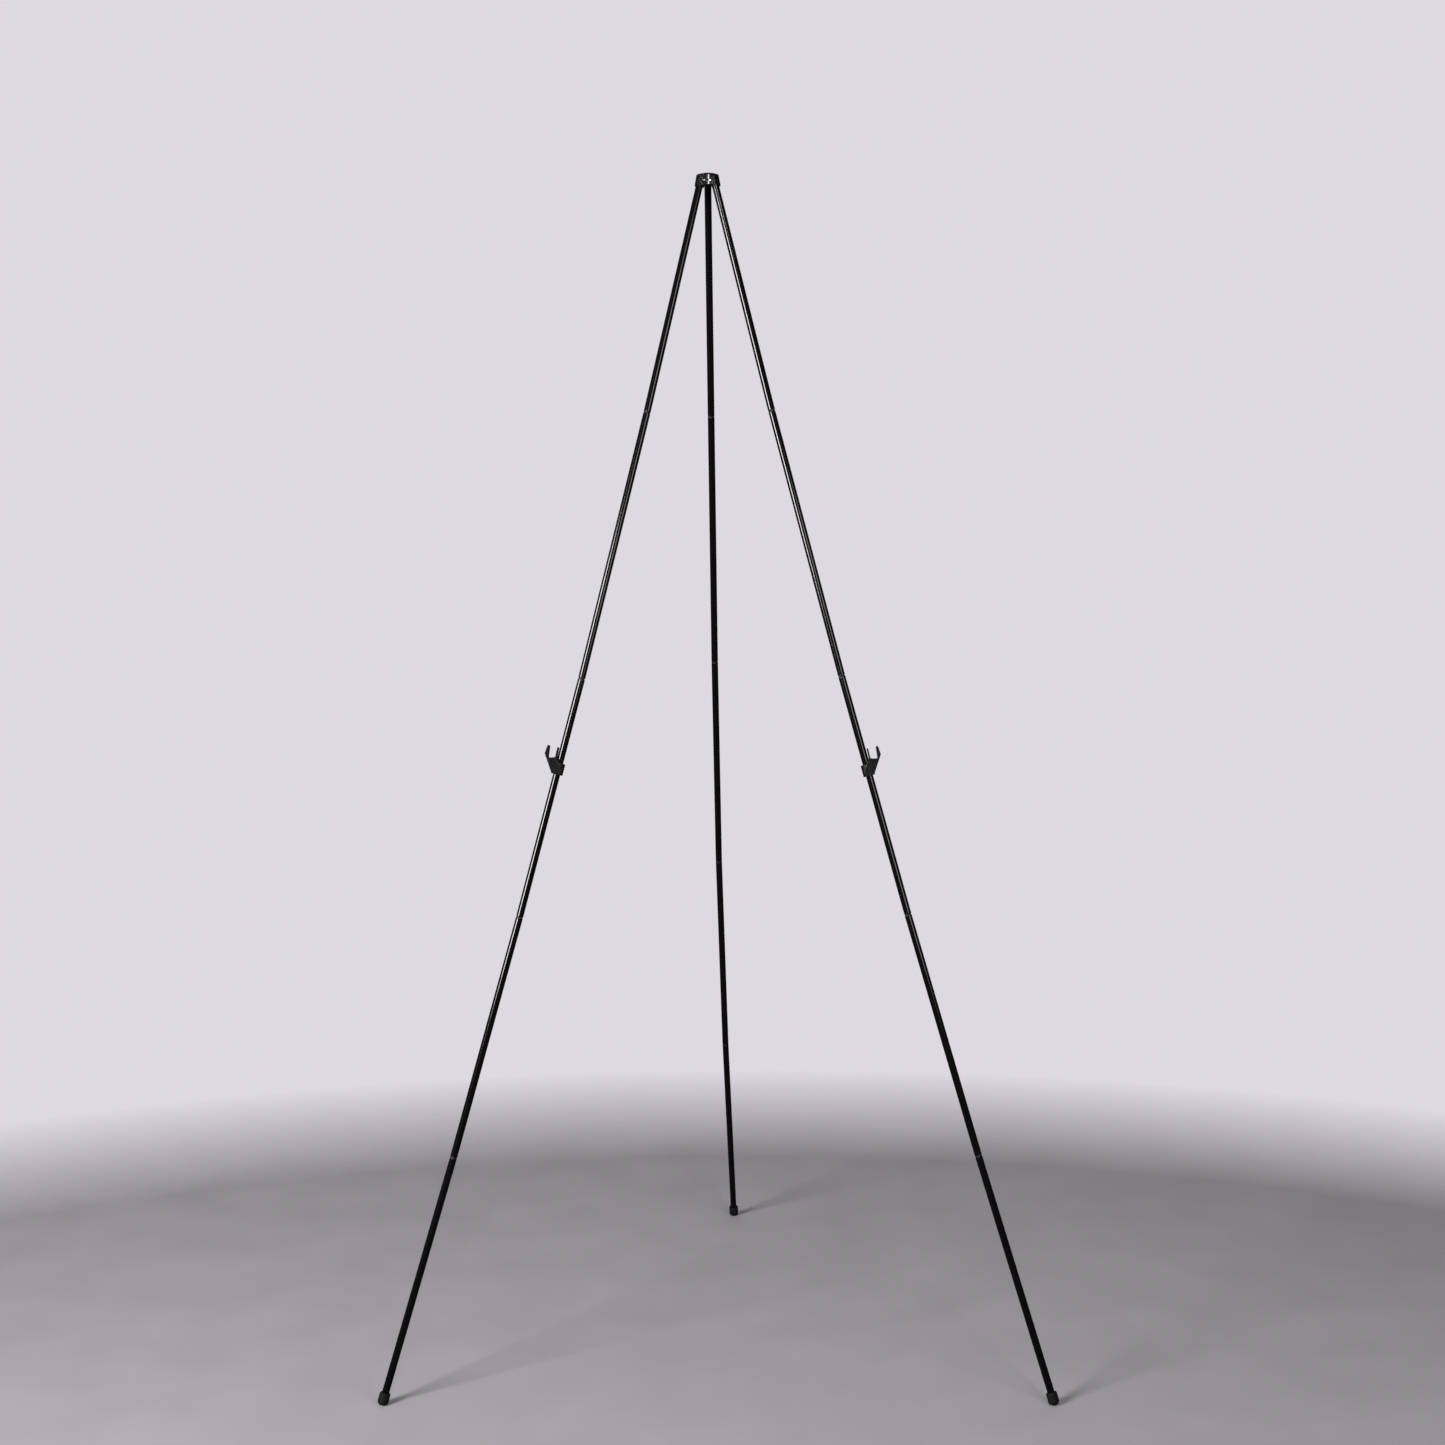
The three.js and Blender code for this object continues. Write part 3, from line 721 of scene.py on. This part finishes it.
def hub_levels():
    """(height, inset, share of the flute's depth) from the base to the slots' ceiling."""
    levels = []
    for i in range(ARC_STEPS + 1):
        turn = math.pi / 2 * i / ARC_STEPS
        levels.append((HUB_EDGE * (1 - math.cos(turn)), HUB_EDGE * (1 - math.sin(turn)), 1))
    flute_top = SLOT_CEILING - FIT_GAP
    for i in range(ARC_STEPS + 1):
        turn = math.pi / 2 * i / ARC_STEPS
        levels.append((flute_top - FLUTE_RADIUS * (1 - math.sin(turn)), 0, math.cos(turn)))
    levels.append((SLOT_CEILING, 0, 0))
    return levels


def circle_between(start, end, steps):
    """Points strictly between two on the same circle about the origin, counterclockwise."""
    radius = start.length
    first = math.atan2(start.y, start.x)
    sweep = (math.atan2(end.y, end.x) - first) % (2 * math.pi)
    angles = [first + sweep * i / steps for i in range(1, steps)]
    return [radius * Vector((math.cos(a), math.sin(a))) for a in angles]


def add_hub_wall(form):
    """Underside and fluted wall with its slots. Returns the (slot, lobe) points at its top."""
    loops = []
    for height, inset, flute_share in hub_levels():
        parts = []
        for part in hub_outline(height, inset, flute_share):
            parts.append([[form.verts.new((*p, height)) for p in points] for points in part])
        loops.append([vert for part in parts for points in part for vert in points])
    form.faces.new(loops[0])
    for lower, upper in zip(loops, loops[1:]):
        bridge(form, lower, upper)
    return parts


def add_slot_ceilings(form, parts):
    """Closes each slot from above. Returns the loop of points round the whole hub."""
    rim = []
    for slot, lobe in parts:
        mouth = circle_between(slot[0].co.xy, slot[-1].co.xy, 2 * ARC_STEPS)
        mouth_verts = [form.verts.new((*p, SLOT_CEILING)) for p in mouth]
        form.faces.new([slot[0], *mouth_verts, slot[-1], *reversed(slot[1:-1])])
        rim += [slot[0], *mouth_verts, slot[-1], *lobe]
    return rim


def add_hub_top(form, rim):
    """The plain wall above the slots, and the recess for the cap."""
    directions = [vert.co.xy.normalized() for vert in rim]
    top_radius = hub_radius_at(HUB_BODY_HEIGHT)
    midway = MIDWAY_ROUND * HUB_TOP_EDGE
    recess = CAP_SPIGOT_RADIUS + FIT_GAP
    profile = [
        (hub_radius_at(HUB_BODY_HEIGHT - HUB_TOP_EDGE), HUB_BODY_HEIGHT - HUB_TOP_EDGE),
        (top_radius - midway, HUB_BODY_HEIGHT - midway),
        (top_radius - HUB_TOP_EDGE, HUB_BODY_HEIGHT),
        (recess, HUB_BODY_HEIGHT),
        (recess, HUB_BODY_HEIGHT - CAP_SPIGOT_DEPTH - FIT_GAP),
    ]
    for radius, height in profile:
        row = [form.verts.new((*(radius * direction), height)) for direction in directions]
        bridge(form, rim, row)
        rim = row
    form.faces.new(rim)


def make_hub_shell():
    """The hub without its pin holes."""
    form = bmesh.new()
    form.verts.layers.float.new("wear_and_shade")
    rim = add_slot_ceilings(form, add_hub_wall(form))
    add_hub_top(form, rim)
    return form


def make_hub_body(finishes):
    body = to_object(make_hub_shell(), "hub_body_detail", weighted=False)
    for azimuth in LEG_AZIMUTHS.values():
        turn = Matrix.Rotation(math.radians(azimuth - 90), 4, "Z")
        hole = cross_rod(PIN_HOLE_RADIUS, HUB_BASE_RADIUS, PIN_FACETS)
        place = turn @ Matrix.Translation((PIVOT_RADIUS, 0, PIVOT_ABOVE_HUB_BASE))
        combine(body, to_object(hole, "pin_hole", place), "DIFFERENCE")
    body = to_object(as_form(body), "hub_body_detail", hub_matrix(), weighted=True)
    return stand_for(body, "hub_body", "hub_plastic", finishes)


def make_hub_cap(finishes):
    """Low dome with a rounded rim, a spigot below and a gate dimple on top."""
    base = HUB_BODY_HEIGHT + FIT_GAP
    rim_top = base + CAP_RIM_HEIGHT
    rise = HUB_HEIGHT - rim_top
    rim_radius = hub_radius_at(rim_top) - FIT_GAP
    dome_radius = (rim_radius**2 + rise**2) / (2 * rise)
    centre = (0, HUB_HEIGHT - dome_radius)
    edge_angle = math.acos(rim_radius / dome_radius)
    gate_angle = math.acos(CAP_GATE_RADIUS / dome_radius)
    dome = arc(centre, dome_radius, edge_angle, gate_angle, 4 * ARC_STEPS)
    dimple_floor = HUB_HEIGHT - CAP_GATE_DEPTH
    dimple = [(CAP_GATE_RADIUS * CAP_GATE_TAPER, dimple_floor), (0, dimple_floor)]
    rim = [(point.x, point.y, 0) for point in dome]
    outline = [
        (0, base - CAP_SPIGOT_DEPTH, 0),
        (CAP_SPIGOT_RADIUS, base - CAP_SPIGOT_DEPTH, PLAIN_EDGE),
        (CAP_SPIGOT_RADIUS, base, 0),
        (hub_radius_at(base), base, FINE_EDGE),
        (rim[0][0], rim[0][1], SOFT_EDGE),
        *rim[1:],
    ]
    form = turned(rounded(outline) + dimple, HUB_FACETS)
    cap = to_object(form, "hub_cap_detail", hub_matrix())
    return stand_for(cap, "hub_cap", "hub_plastic", finishes)


def make_pivot_pin(leg, finishes):
    """Steel pin with domed ends."""
    edge_angle = math.asin(PIN_RADIUS / PIN_DOME_RADIUS)
    centre = (0, PIN_HALF_LENGTH - PIN_DOME_RADIUS)
    dome = arc(centre, PIN_DOME_RADIUS, math.pi / 2 - edge_angle, math.pi / 2, 2 * ARC_STEPS)
    upper = [(point.x, point.y) for point in dome[:-1]] + [(0, PIN_HALF_LENGTH)]
    lower = [(radius, -height) for radius, height in reversed(upper)]
    pin = turned(lower + upper, PIN_FACETS)
    pin.transform(Matrix.Rotation(math.pi / 2, 4, "X"))
    made = to_object(pin, f"{leg}_pivot_pin_detail", pivot_matrix(leg))
    return stand_for(made, f"{leg}_pivot_pin", "bright_steel", finishes)


# ------------------------------ leg pieces


def make_leg_plug(leg, finishes):
    """Head that turns on the pin, over the spigot pressed into the first tube."""
    pocket_bottom = KNOT_POCKET_TOP + KNOT_POCKET_HEIGHT
    corners = [
        (0, HEAD_TOP, 0),
        (TUBE_RADIUS, HEAD_TOP, HEAD_ROUNDING),
        (TUBE_RADIUS, -HEAD_BOTTOM, PLAIN_EDGE),
        (PLUG_RADIUS, -HEAD_BOTTOM, 0),
        (PLUG_RADIUS, -HEAD_BOTTOM - PLUG_DEPTH, PLUG_END_EDGE),
        (CORD_HOLE, -HEAD_BOTTOM - PLUG_DEPTH, SOFT_EDGE),
        (CORD_HOLE, -pocket_bottom, PLAIN_EDGE),
        (KNOT_POCKET_RADIUS, -pocket_bottom + KNOT_POCKET_TAPER, PLAIN_EDGE),
        (KNOT_POCKET_RADIUS, -KNOT_POCKET_TOP, SOFT_EDGE),
        (0, -KNOT_POCKET_TOP, 0),
    ]
    plug = to_object(turned(rounded(corners), TUBE_FACETS), "plug")
    eye = cross_rod(PIN_HOLE_RADIUS, TUBE_RADIUS + CUT_MARGIN, PIN_FACETS)
    combine(plug, to_object(eye, "eye"), "DIFFERENCE")
    name = f"{leg}_leg_plug"
    made = to_object(as_form(plug), f"{name}_detail", section_matrix(leg, 0), weighted=True)
    return stand_for(made, name, "trim_plastic", finishes)


def make_tube(leg, index, top_depth, bottom_depth, finishes):
    """Thin-walled tube with rolled ends, whose paint is rubbed at the rims."""
    length = bottom_depth - top_depth
    corners = [
        (TUBE_BORE, 0, CRISP_EDGE),
        (TUBE_RADIUS, 0, TUBE_EDGE),
        (TUBE_RADIUS, -length, TUBE_EDGE),
        (TUBE_BORE, -length, CRISP_EDGE),
    ]
    outline = rounded(corners, closed=True)
    per_corner = ARC_STEPS + 1
    worn_top = [(TUBE_RADIUS, -WORN_LENGTH / 2), (TUBE_RADIUS, -WORN_LENGTH)]
    worn_bottom = [(r, -length - z) for r, z in reversed(worn_top)]
    profile = outline[: 2 * per_corner] + worn_top + worn_bottom + outline[2 * per_corner :]
    rim = [BORE_WEAR] * per_corner + [1.0] * per_corner
    fading = [MIDWAY_WEAR, 0.0]
    values = rim + fading + fading[::-1] + rim[::-1]
    name = f"{leg}_tube_{index + 1}"
    form = turned(profile, TUBE_FACETS, ring=True, values=values)
    made = to_object(form, f"{name}_detail", lowered(section_matrix(leg, index), top_depth))
    return stand_for(made, name, "black_tube", finishes)


def make_ferrule(leg, index, finishes):
    """Hollow connector with a narrow shoulder, whose middle is the joint."""
    half = SHOULDER_HEIGHT / 2
    corners = [
        (FERRULE_BORE, FERRULE_FIXED_LENGTH, PLAIN_EDGE),
        (FERRULE_RADIUS, FERRULE_FIXED_LENGTH, SOFT_EDGE),
        (FERRULE_RADIUS, half + JOINT_SHADE_REACH, 0),
        (FERRULE_RADIUS, half, 0),
        (SHOULDER_RADIUS, half, FINE_EDGE),
        (SHOULDER_RADIUS, -half, FINE_EDGE),
        (FERRULE_RADIUS, -half, 0),
        (FERRULE_RADIUS, -half - JOINT_SHADE_REACH, 0),
        (FERRULE_RADIUS, -FERRULE_FREE_LENGTH + FERRULE_LEAD_IN, FERRULE_NOSE_EDGE),
        (FERRULE_RADIUS - FERRULE_LEAD_IN / 2, -FERRULE_FREE_LENGTH, CRISP_EDGE),
        (FERRULE_BORE, -FERRULE_FREE_LENGTH, PLAIN_EDGE),
    ]
    name = f"{leg}_ferrule_{index + 1}"
    profile = rounded(corners, closed=True)
    # Painted shade: 1 in the joint's gap, fading to 0 along the ferrule
    joint_shade = [max(0.0, 1 - max(0.0, abs(z) - half) / JOINT_SHADE_REACH) for _, z in profile]
    form = turned(profile, TUBE_FACETS, ring=True, values=joint_shade)
    place = lowered(section_matrix(leg, index), SECTION_LENGTHS[index])
    return stand_for(to_object(form, f"{name}_detail", place), name, "zinc_steel", finishes)


def make_cord_anchor(leg, finishes):
    corners = [
        (CORD_HOLE, ANCHOR_DEPTH, SOFT_EDGE),
        (PLUG_RADIUS, ANCHOR_DEPTH, SOFT_EDGE),
        (PLUG_RADIUS, -FIT_GAP, 0),
        (TUBE_RADIUS - FIT_GAP, -FIT_GAP, FINE_EDGE),
        (TUBE_RADIUS - FIT_GAP, -FIT_GAP - ANCHOR_FLANGE, FINE_EDGE),
        (CORD_HOLE, -FIT_GAP - ANCHOR_FLANGE, SOFT_EDGE),
    ]
    form = turned(rounded(corners, closed=True), TUBE_FACETS, ring=True)
    last = len(SECTION_LENGTHS) - 1
    place = lowered(section_matrix(leg, last), SECTION_LENGTHS[last] - TUBE_END)
    name = f"{leg}_cord_anchor"
    return stand_for(to_object(form, f"{name}_detail", place), name, "trim_plastic", finishes)


def trim_at_floor(form):
    """Cuts away what is below the floor, and closes the cut."""
    cut = bmesh.ops.bisect_plane(
        form,
        geom=[*form.verts, *form.edges, *form.faces],
        plane_co=(0, 0, 0),
        plane_no=(0, 0, 1),
        clear_inner=True,
    )
    sole_edges = [item for item in cut["geom_cut"] if isinstance(item, bmesh.types.BMEdge)]
    bmesh.ops.holes_fill(form, edges=sole_edges, sides=0)


def make_foot(leg, finishes):
    """Rubber tip, trimmed flat on the floor and dusty just above it."""
    last = len(SECTION_LENGTHS) - 1
    place = lowered(section_matrix(leg, last), SECTION_LENGTHS[last])
    socket_top = TUBE_END - FIT_GAP - ANCHOR_FLANGE
    socket_floor = socket_top - KNOT_ROOM
    knot_socket = KNOT_RADIUS + FIT_GAP
    corners = [
        (0, -FOOT_TIP, 0),
        (FOOT_RADIUS, -FOOT_TIP, FOOT_CORNER),
        (FOOT_RADIUS, 2 * DUSTY_HEIGHT, 0),
        (FOOT_RADIUS, FOOT_HEIGHT - FOOT_TOP_SLOPE, FOOT_SHOULDER_EDGE),
        (FOOT_TOP_RADIUS, FOOT_HEIGHT, FOOT_MOUTH_EDGE),
        (GRIP_BORE, FOOT_HEIGHT, SOFT_EDGE),
        (GRIP_BORE, socket_top, SOFT_EDGE),
        (knot_socket, socket_top, SOFT_EDGE),
        (knot_socket, socket_floor, KNOT_ROOM_EDGE),
        (0, socket_floor, 0),
    ]
    form = turned(rounded(corners), FOOT_FACETS)
    form.transform(place)
    trim_at_floor(form)
    wear_and_shade = form.verts.layers.float["wear_and_shade"]
    for vert in form.verts:
        vert[wear_and_shade] = max(0.0, 1 - vert.co.z / DUSTY_HEIGHT)
    name = f"{leg}_foot"
    made = to_object(form, f"{name}_detail", weighted=True)
    return stand_for(made, name, "rubber", finishes)


# ------------------------------ shock cord


def cord_stations(leg, first, last):
    """(place, distance) of each ring of cord between two (section, depth) marks."""
    stations = []
    distance = 0.0
    for index in range(first[0], last[0] + 1):
        start = first[1] if index == first[0] else 0.0
        end = last[1] if index == last[0] else SECTION_LENGTHS[index]
        steps = math.ceil((end - start) / CORD_STEP)
        begin = 0 if not stations else 1
        for i in range(begin, steps + 1):
            depth = start + (end - start) * i / steps
            stations.append((lowered(section_matrix(leg, index), depth), distance + depth - start))
        distance += end - start
    return stations


def sweep_cord(form, stations, radius):
    """A round cord through the stations, with a UV that runs along it."""
    braid = form.loops.layers.uv.get("braid") or form.loops.layers.uv.new("braid")
    rows = []
    for place, _ in stations:
        angles = [2 * math.pi * k / CORD_FACETS for k in range(CORD_FACETS)]
        ring = [(radius * math.cos(a), radius * math.sin(a), 0) for a in angles]
        rows.append([form.verts.new(place @ Vector(point)) for point in ring])
    round_the_cord = 2 * math.pi * radius
    for (lower, upper), (a, b) in zip(zip(rows, rows[1:]), zip(stations, stations[1:])):
        for k in range(CORD_FACETS):
            after = (k + 1) % CORD_FACETS
            face = form.faces.new((lower[k], lower[after], upper[after], upper[k]))
            corners = ((k, a[1]), (k + 1, a[1]), (k + 1, b[1]), (k, b[1]))
            for loop, (turn, distance) in zip(face.loops, corners):
                loop[braid].uv = (turn / CORD_FACETS, distance / round_the_cord)
    for row in (rows[0], rows[-1]):
        form.faces.new(row)


def tie_knot(form, place):
    """A tight overhand knot that fits in a ball of the knot's radius."""
    size = (KNOT_RADIUS - KNOT_STRAND) / 3
    path = []
    for i in range(KNOT_STEPS + 1):
        t = 2 * math.pi * i / KNOT_STEPS
        across = math.sin(t) + 2 * math.sin(2 * t)
        along = math.cos(t) - 2 * math.cos(2 * t)
        path.append(size * Vector((across, along, -KNOT_DEPTH * math.sin(3 * t))))
    stations = []
    distance = 0.0
    for i in range(KNOT_STEPS):
        ahead = (path[(i + 1) % KNOT_STEPS] - path[i - 1]).normalized()
        turn = ahead.to_track_quat("Z", "Y").to_matrix().to_4x4()
        stations.append((place @ Matrix.Translation(path[i]) @ turn, distance))
        distance += (path[i + 1] - path[i]).length
    sweep_cord(form, stations, KNOT_STRAND)


def make_cord(leg, finishes):
    """The cord in four lengths, one over each joint, so that it stretches as they part."""
    last = len(SECTION_LENGTHS) - 1
    top_mark = (0, KNOT_POCKET_TOP + KNOT_POCKET_HEIGHT / 2)
    end_depth = SECTION_LENGTHS[last] - TUBE_END + 2 * FIT_GAP + ANCHOR_FLANGE + KNOT_RADIUS
    bottom_mark = (last, end_depth)
    middles = [(i, SECTION_LENGTHS[i] / 2) for i in range(1, last)]
    marks = [top_mark, *middles, bottom_mark]
    for i in range(last):
        form = bmesh.new()
        stations = cord_stations(leg, marks[i], marks[i + 1])
        sweep_cord(form, stations, CORD_RADIUS)
        if i == 0:
            tie_knot(form, stations[0][0])
        if i == last - 1:
            tie_knot(form, stations[-1][0])
        made = to_object(form, f"{leg}_cord_{i + 1}")
        made.data.materials.append(finishes["cord"])
        joint = lowered(section_matrix(leg, i), SECTION_LENGTHS[i])
        above = joint @ Vector((0, 0, CORD_STRETCH_REACH))
        below = section_matrix(leg, i + 1) @ Vector((0, 0, -CORD_STRETCH_REACH))
        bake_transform(made, f"{leg}_leg_{i + 1}", f"{leg}_leg_{i + 2}", start=above, end=below)
        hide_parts(f"{leg}_cord")


# ------------------------------ holders


def holder_matrix(leg):
    turn = -HOLDER_TURN if leg == "left" else HOLDER_TURN
    place = lowered(section_matrix(leg, HOLDER_SECTION), HOLDER_FROM_JOINT[leg])
    return place @ Matrix.Rotation(turn, 4, "Z")


def make_holder_grip(leg, finishes):
    half = GRIP_LENGTH / 2
    corners = [
        (GRIP_BORE, half, SOFT_EDGE),
        (GRIP_RADIUS, half, PLAIN_EDGE),
        (GRIP_RADIUS, -half, PLAIN_EDGE),
        (GRIP_BORE, -half, SOFT_EDGE),
    ]
    form = turned(rounded(corners, closed=True), TUBE_FACETS, ring=True)
    name = f"{leg}_holder_grip"
    return stand_for(to_object(form, f"{name}_detail", holder_matrix(leg)), name, "rubber", finishes)


def notch_point(side, rise):
    """A point in the notch, side metres across its floor and rise metres above it."""
    across = Vector((math.cos(NOTCH_LEAN), -math.sin(NOTCH_LEAN)))
    up = Vector((math.sin(NOTCH_LEAN), math.cos(NOTCH_LEAN)))
    return Vector(NOTCH_FLOOR) + across * side + up * rise


def hook_outline():
    """Side view of the hook, with the notch between its two prongs."""
    half = NOTCH_WIDTH / 2
    far_floor = notch_point(half, 0)
    near_floor = notch_point(-half, 0)
    in_mm = [
        *HOOK_FOOT,
        *HOOK_LONG_TIP,
        (far_floor.x / MM, far_floor.y / MM, NOTCH_CORNER / MM),
        (near_floor.x / MM, near_floor.y / MM, NOTCH_CORNER / MM),
        *HOOK_SHORT_TIP,
        *HOOK_BACK,
    ]
    corners = [(x * MM, y * MM, radius * MM) for x, y, radius in in_mm]
    return rounded(corners, closed=True)


def make_hook_arm():
    """The hook's plate, rounded along both rims."""
    form = bmesh.new()
    outline = hook_outline()
    front = form.faces.new([form.verts.new((p.x, -HOOK_THICKNESS / 2, p.y)) for p in outline])
    pushed = bmesh.ops.extrude_face_region(form, geom=[front], use_keep_orig=True)
    back = [item for item in pushed["geom"] if isinstance(item, bmesh.types.BMVert)]
    bmesh.ops.translate(form, verts=back, vec=(0, HOOK_THICKNESS, 0))
    bmesh.ops.recalc_face_normals(form, faces=form.faces)
    rims = [e for e in form.edges if abs(e.verts[0].co.y - e.verts[1].co.y) < FIT_GAP]
    bmesh.ops.bevel(
        form,
        geom=rims,
        offset=HOOK_EDGE,
        segments=HOOK_EDGE_STEPS,
        profile=0.5,
        affect="EDGES",
    )
    return form


def mark_notch(form):
    """Wear is 1 on the notch's floor and sides, where boards rub."""
    wear_and_shade = form.verts.layers.float["wear_and_shade"]
    for vert in form.verts:
        offset = vert.co.xz - Vector(NOTCH_FLOOR)
        side = offset.x * math.cos(NOTCH_LEAN) - offset.y * math.sin(NOTCH_LEAN)
        rise = offset.x * math.sin(NOTCH_LEAN) + offset.y * math.cos(NOTCH_LEAN)
        inside = abs(side) < NOTCH_WIDTH / 2 + HOOK_EDGE and rise > -HOOK_EDGE
        vert[wear_and_shade] = 1.0 if inside else 0.0


def make_holder_hook(leg, finishes):
    half = COLLAR_LENGTH / 2
    collar_corners = [
        (0, -half, 0),
        (COLLAR_RADIUS, -half, COLLAR_EDGE),
        (COLLAR_RADIUS, half, COLLAR_EDGE),
        (0, half, 0),
    ]
    hook = to_object(turned(rounded(collar_corners), FOOT_FACETS), "collar")
    combine(hook, to_object(make_hook_arm(), "arm"), "UNION")
    seat_top = GRIP_LENGTH / 2 + FIT_GAP
    bore = [
        (0, -half - CUT_MARGIN),
        (COLLAR_BORE, -half - CUT_MARGIN),
        (COLLAR_BORE, seat_top),
        (GRIP_BORE + FIT_GAP, seat_top),
        (GRIP_BORE + FIT_GAP, 2 * COLLAR_LENGTH),
        (0, 2 * COLLAR_LENGTH),
    ]
    combine(hook, to_object(turned(bore, TUBE_FACETS), "bore"), "DIFFERENCE")
    form = as_form(hook)
    mark_notch(form)
    name = f"{leg}_holder_hook"
    made = to_object(form, f"{name}_detail", holder_matrix(leg), weighted=True)
    return stand_for(made, name, "trim_plastic", finishes)


# ------------------------------ camera, floor and light


def make_camera():
    data = bpy.data.cameras.new("camera")
    data.lens = CAMERA_LENS
    data.sensor_width = SENSOR_WIDTH
    camera = bpy.data.objects.new("camera", data)
    bpy.context.scene.collection.objects.link(camera)
    side, away = math.sin(CAMERA_AZIMUTH), math.cos(CAMERA_AZIMUTH)
    place = hub_axis() + Vector(
        (CAMERA_DISTANCE * side, -CAMERA_DISTANCE * away, CAMERA_HEIGHT)
    )
    heading = CAMERA_AZIMUTH + CAMERA_YAW
    level = math.cos(CAMERA_PITCH)
    ahead = Vector(
        (-math.sin(heading) * level, math.cos(heading) * level, -math.sin(CAMERA_PITCH))
    )
    right = Vector((math.cos(heading), math.sin(heading), 0))
    up = right.cross(ahead)
    rolled_right = right * math.cos(CAMERA_ROLL) + up * math.sin(CAMERA_ROLL)
    rolled_up = up * math.cos(CAMERA_ROLL) - right * math.sin(CAMERA_ROLL)
    turn = Matrix((rolled_right, rolled_up, -ahead)).transposed().to_4x4()
    camera.matrix_world = Matrix.Translation(place) @ turn
    bpy.context.scene.camera = camera


def make_floor():
    """Plain pale floor that fades out some way from the easel."""
    form = bmesh.new()
    bmesh.ops.create_circle(
        form, cap_ends=True, radius=FLOOR_RADIUS, segments=FLOOR_FACETS
    )
    floor = to_object(form, "floor", Matrix.Translation(FLOOR_CENTRE))
    finish = Finish("plain_floor", {})
    mottle = finish.noise(FLOOR_MOTTLE, detail=5)
    colour = finish.colours(mottle, *FLOOR_TONES)
    roughness = finish.between(mottle, 0.3, 0.7, 0.42, 0.55)
    distance = finish.add("ShaderNodeVectorMath", {0: finish.place}, operation="LENGTH")
    alpha = finish.between(distance.outputs["Value"], FLOOR_SOLID, FLOOR_END, 1, 0)
    finish.drive(Base_Color=colour, Roughness=roughness, Alpha=alpha)
    floor.data.materials.append(finish.material)
    floor.visible_glossy = False


def make_world():
    """Pale backdrop for the camera, and a dimmer room that lights the easel."""
    world = bpy.data.worlds.new("studio")
    world.use_nodes = True
    bpy.context.scene.world = world
    tree = world.node_tree
    room = tree.nodes["Background"]
    room.inputs["Color"].default_value = ROOM_COLOUR
    room.inputs["Strength"].default_value = ROOM_STRENGTH
    backdrop = tree.nodes.new("ShaderNodeBackground")
    backdrop.inputs["Color"].default_value = BACKDROP_COLOUR
    path = tree.nodes.new("ShaderNodeLightPath")
    either = tree.nodes.new("ShaderNodeMixShader")
    tree.links.new(path.outputs["Is Camera Ray"], either.inputs[0])
    tree.links.new(room.outputs[0], either.inputs[1])
    tree.links.new(backdrop.outputs[0], either.inputs[2])
    tree.links.new(either.outputs[0], tree.nodes["World Output"].inputs["Surface"])


def make_softbox(name, panel, mirrored):
    """A panel of soft light, aimed at the easel."""
    azimuth, distance, height, width, tall, watts = panel
    data = bpy.data.lights.new(name, "AREA")
    data.shape = "RECTANGLE"
    data.size, data.size_y = width, tall
    data.energy = watts
    lamp = bpy.data.objects.new(name, data)
    bpy.context.scene.collection.objects.link(lamp)
    angle = math.radians(azimuth)
    target = hub_axis() + Vector((0, 0, LIGHTS_AIM_HEIGHT))
    lamp.location = hub_axis() + Vector(
        (distance * math.sin(angle), -distance * math.cos(angle), height)
    )
    lamp.rotation_euler = (target - lamp.location).to_track_quat("-Z", "Y").to_euler()
    lamp.visible_camera = False
    lamp.visible_glossy = mirrored


def make_lights():
    for name, panel in MIRRORED_LIGHTS.items():
        make_softbox(name, panel, mirrored=True)
    for name, panel in UNMIRRORED_LIGHTS.items():
        make_softbox(name, panel, mirrored=False)
    bpy.context.scene.view_settings.view_transform = "Standard"


# ------------------------------ assembly


def make_leg(leg, finishes):
    last = len(SECTION_LENGTHS) - 1
    make_pivot_pin(leg, finishes)
    make_leg_plug(leg, finishes)
    for index, length in enumerate(SECTION_LENGTHS):
        top_depth = HEAD_BOTTOM + FIT_GAP if index == 0 else JOINT_GAP / 2
        bottom_depth = length - (TUBE_END if index == last else JOINT_GAP / 2)
        make_tube(leg, index, top_depth, bottom_depth, finishes)
        if index < last:
            make_ferrule(leg, index, finishes)
    make_cord_anchor(leg, finishes)
    make_foot(leg, finishes)
    if leg in HOLDER_FROM_JOINT:
        make_holder_grip(leg, finishes)
        make_holder_hook(leg, finishes)


def make_easel():
    finishes = {
        "black_tube": make_tube_paint(),
        "hub_plastic": make_hub_plastic(),
        "trim_plastic": make_trim_plastic(),
        "rubber": make_rubber(),
        "bright_steel": make_pin_steel(),
        "zinc_steel": make_zinc_steel(),
        "cord": make_cord_braid(),
    }
    for leg in LEG_AZIMUTHS:
        make_cord(leg, finishes)
    make_hub_body(finishes)
    make_hub_cap(finishes)
    for leg in LEG_AZIMUTHS:
        make_leg(leg, finishes)


make_camera()
make_easel()
make_floor()
make_world()
make_lights()
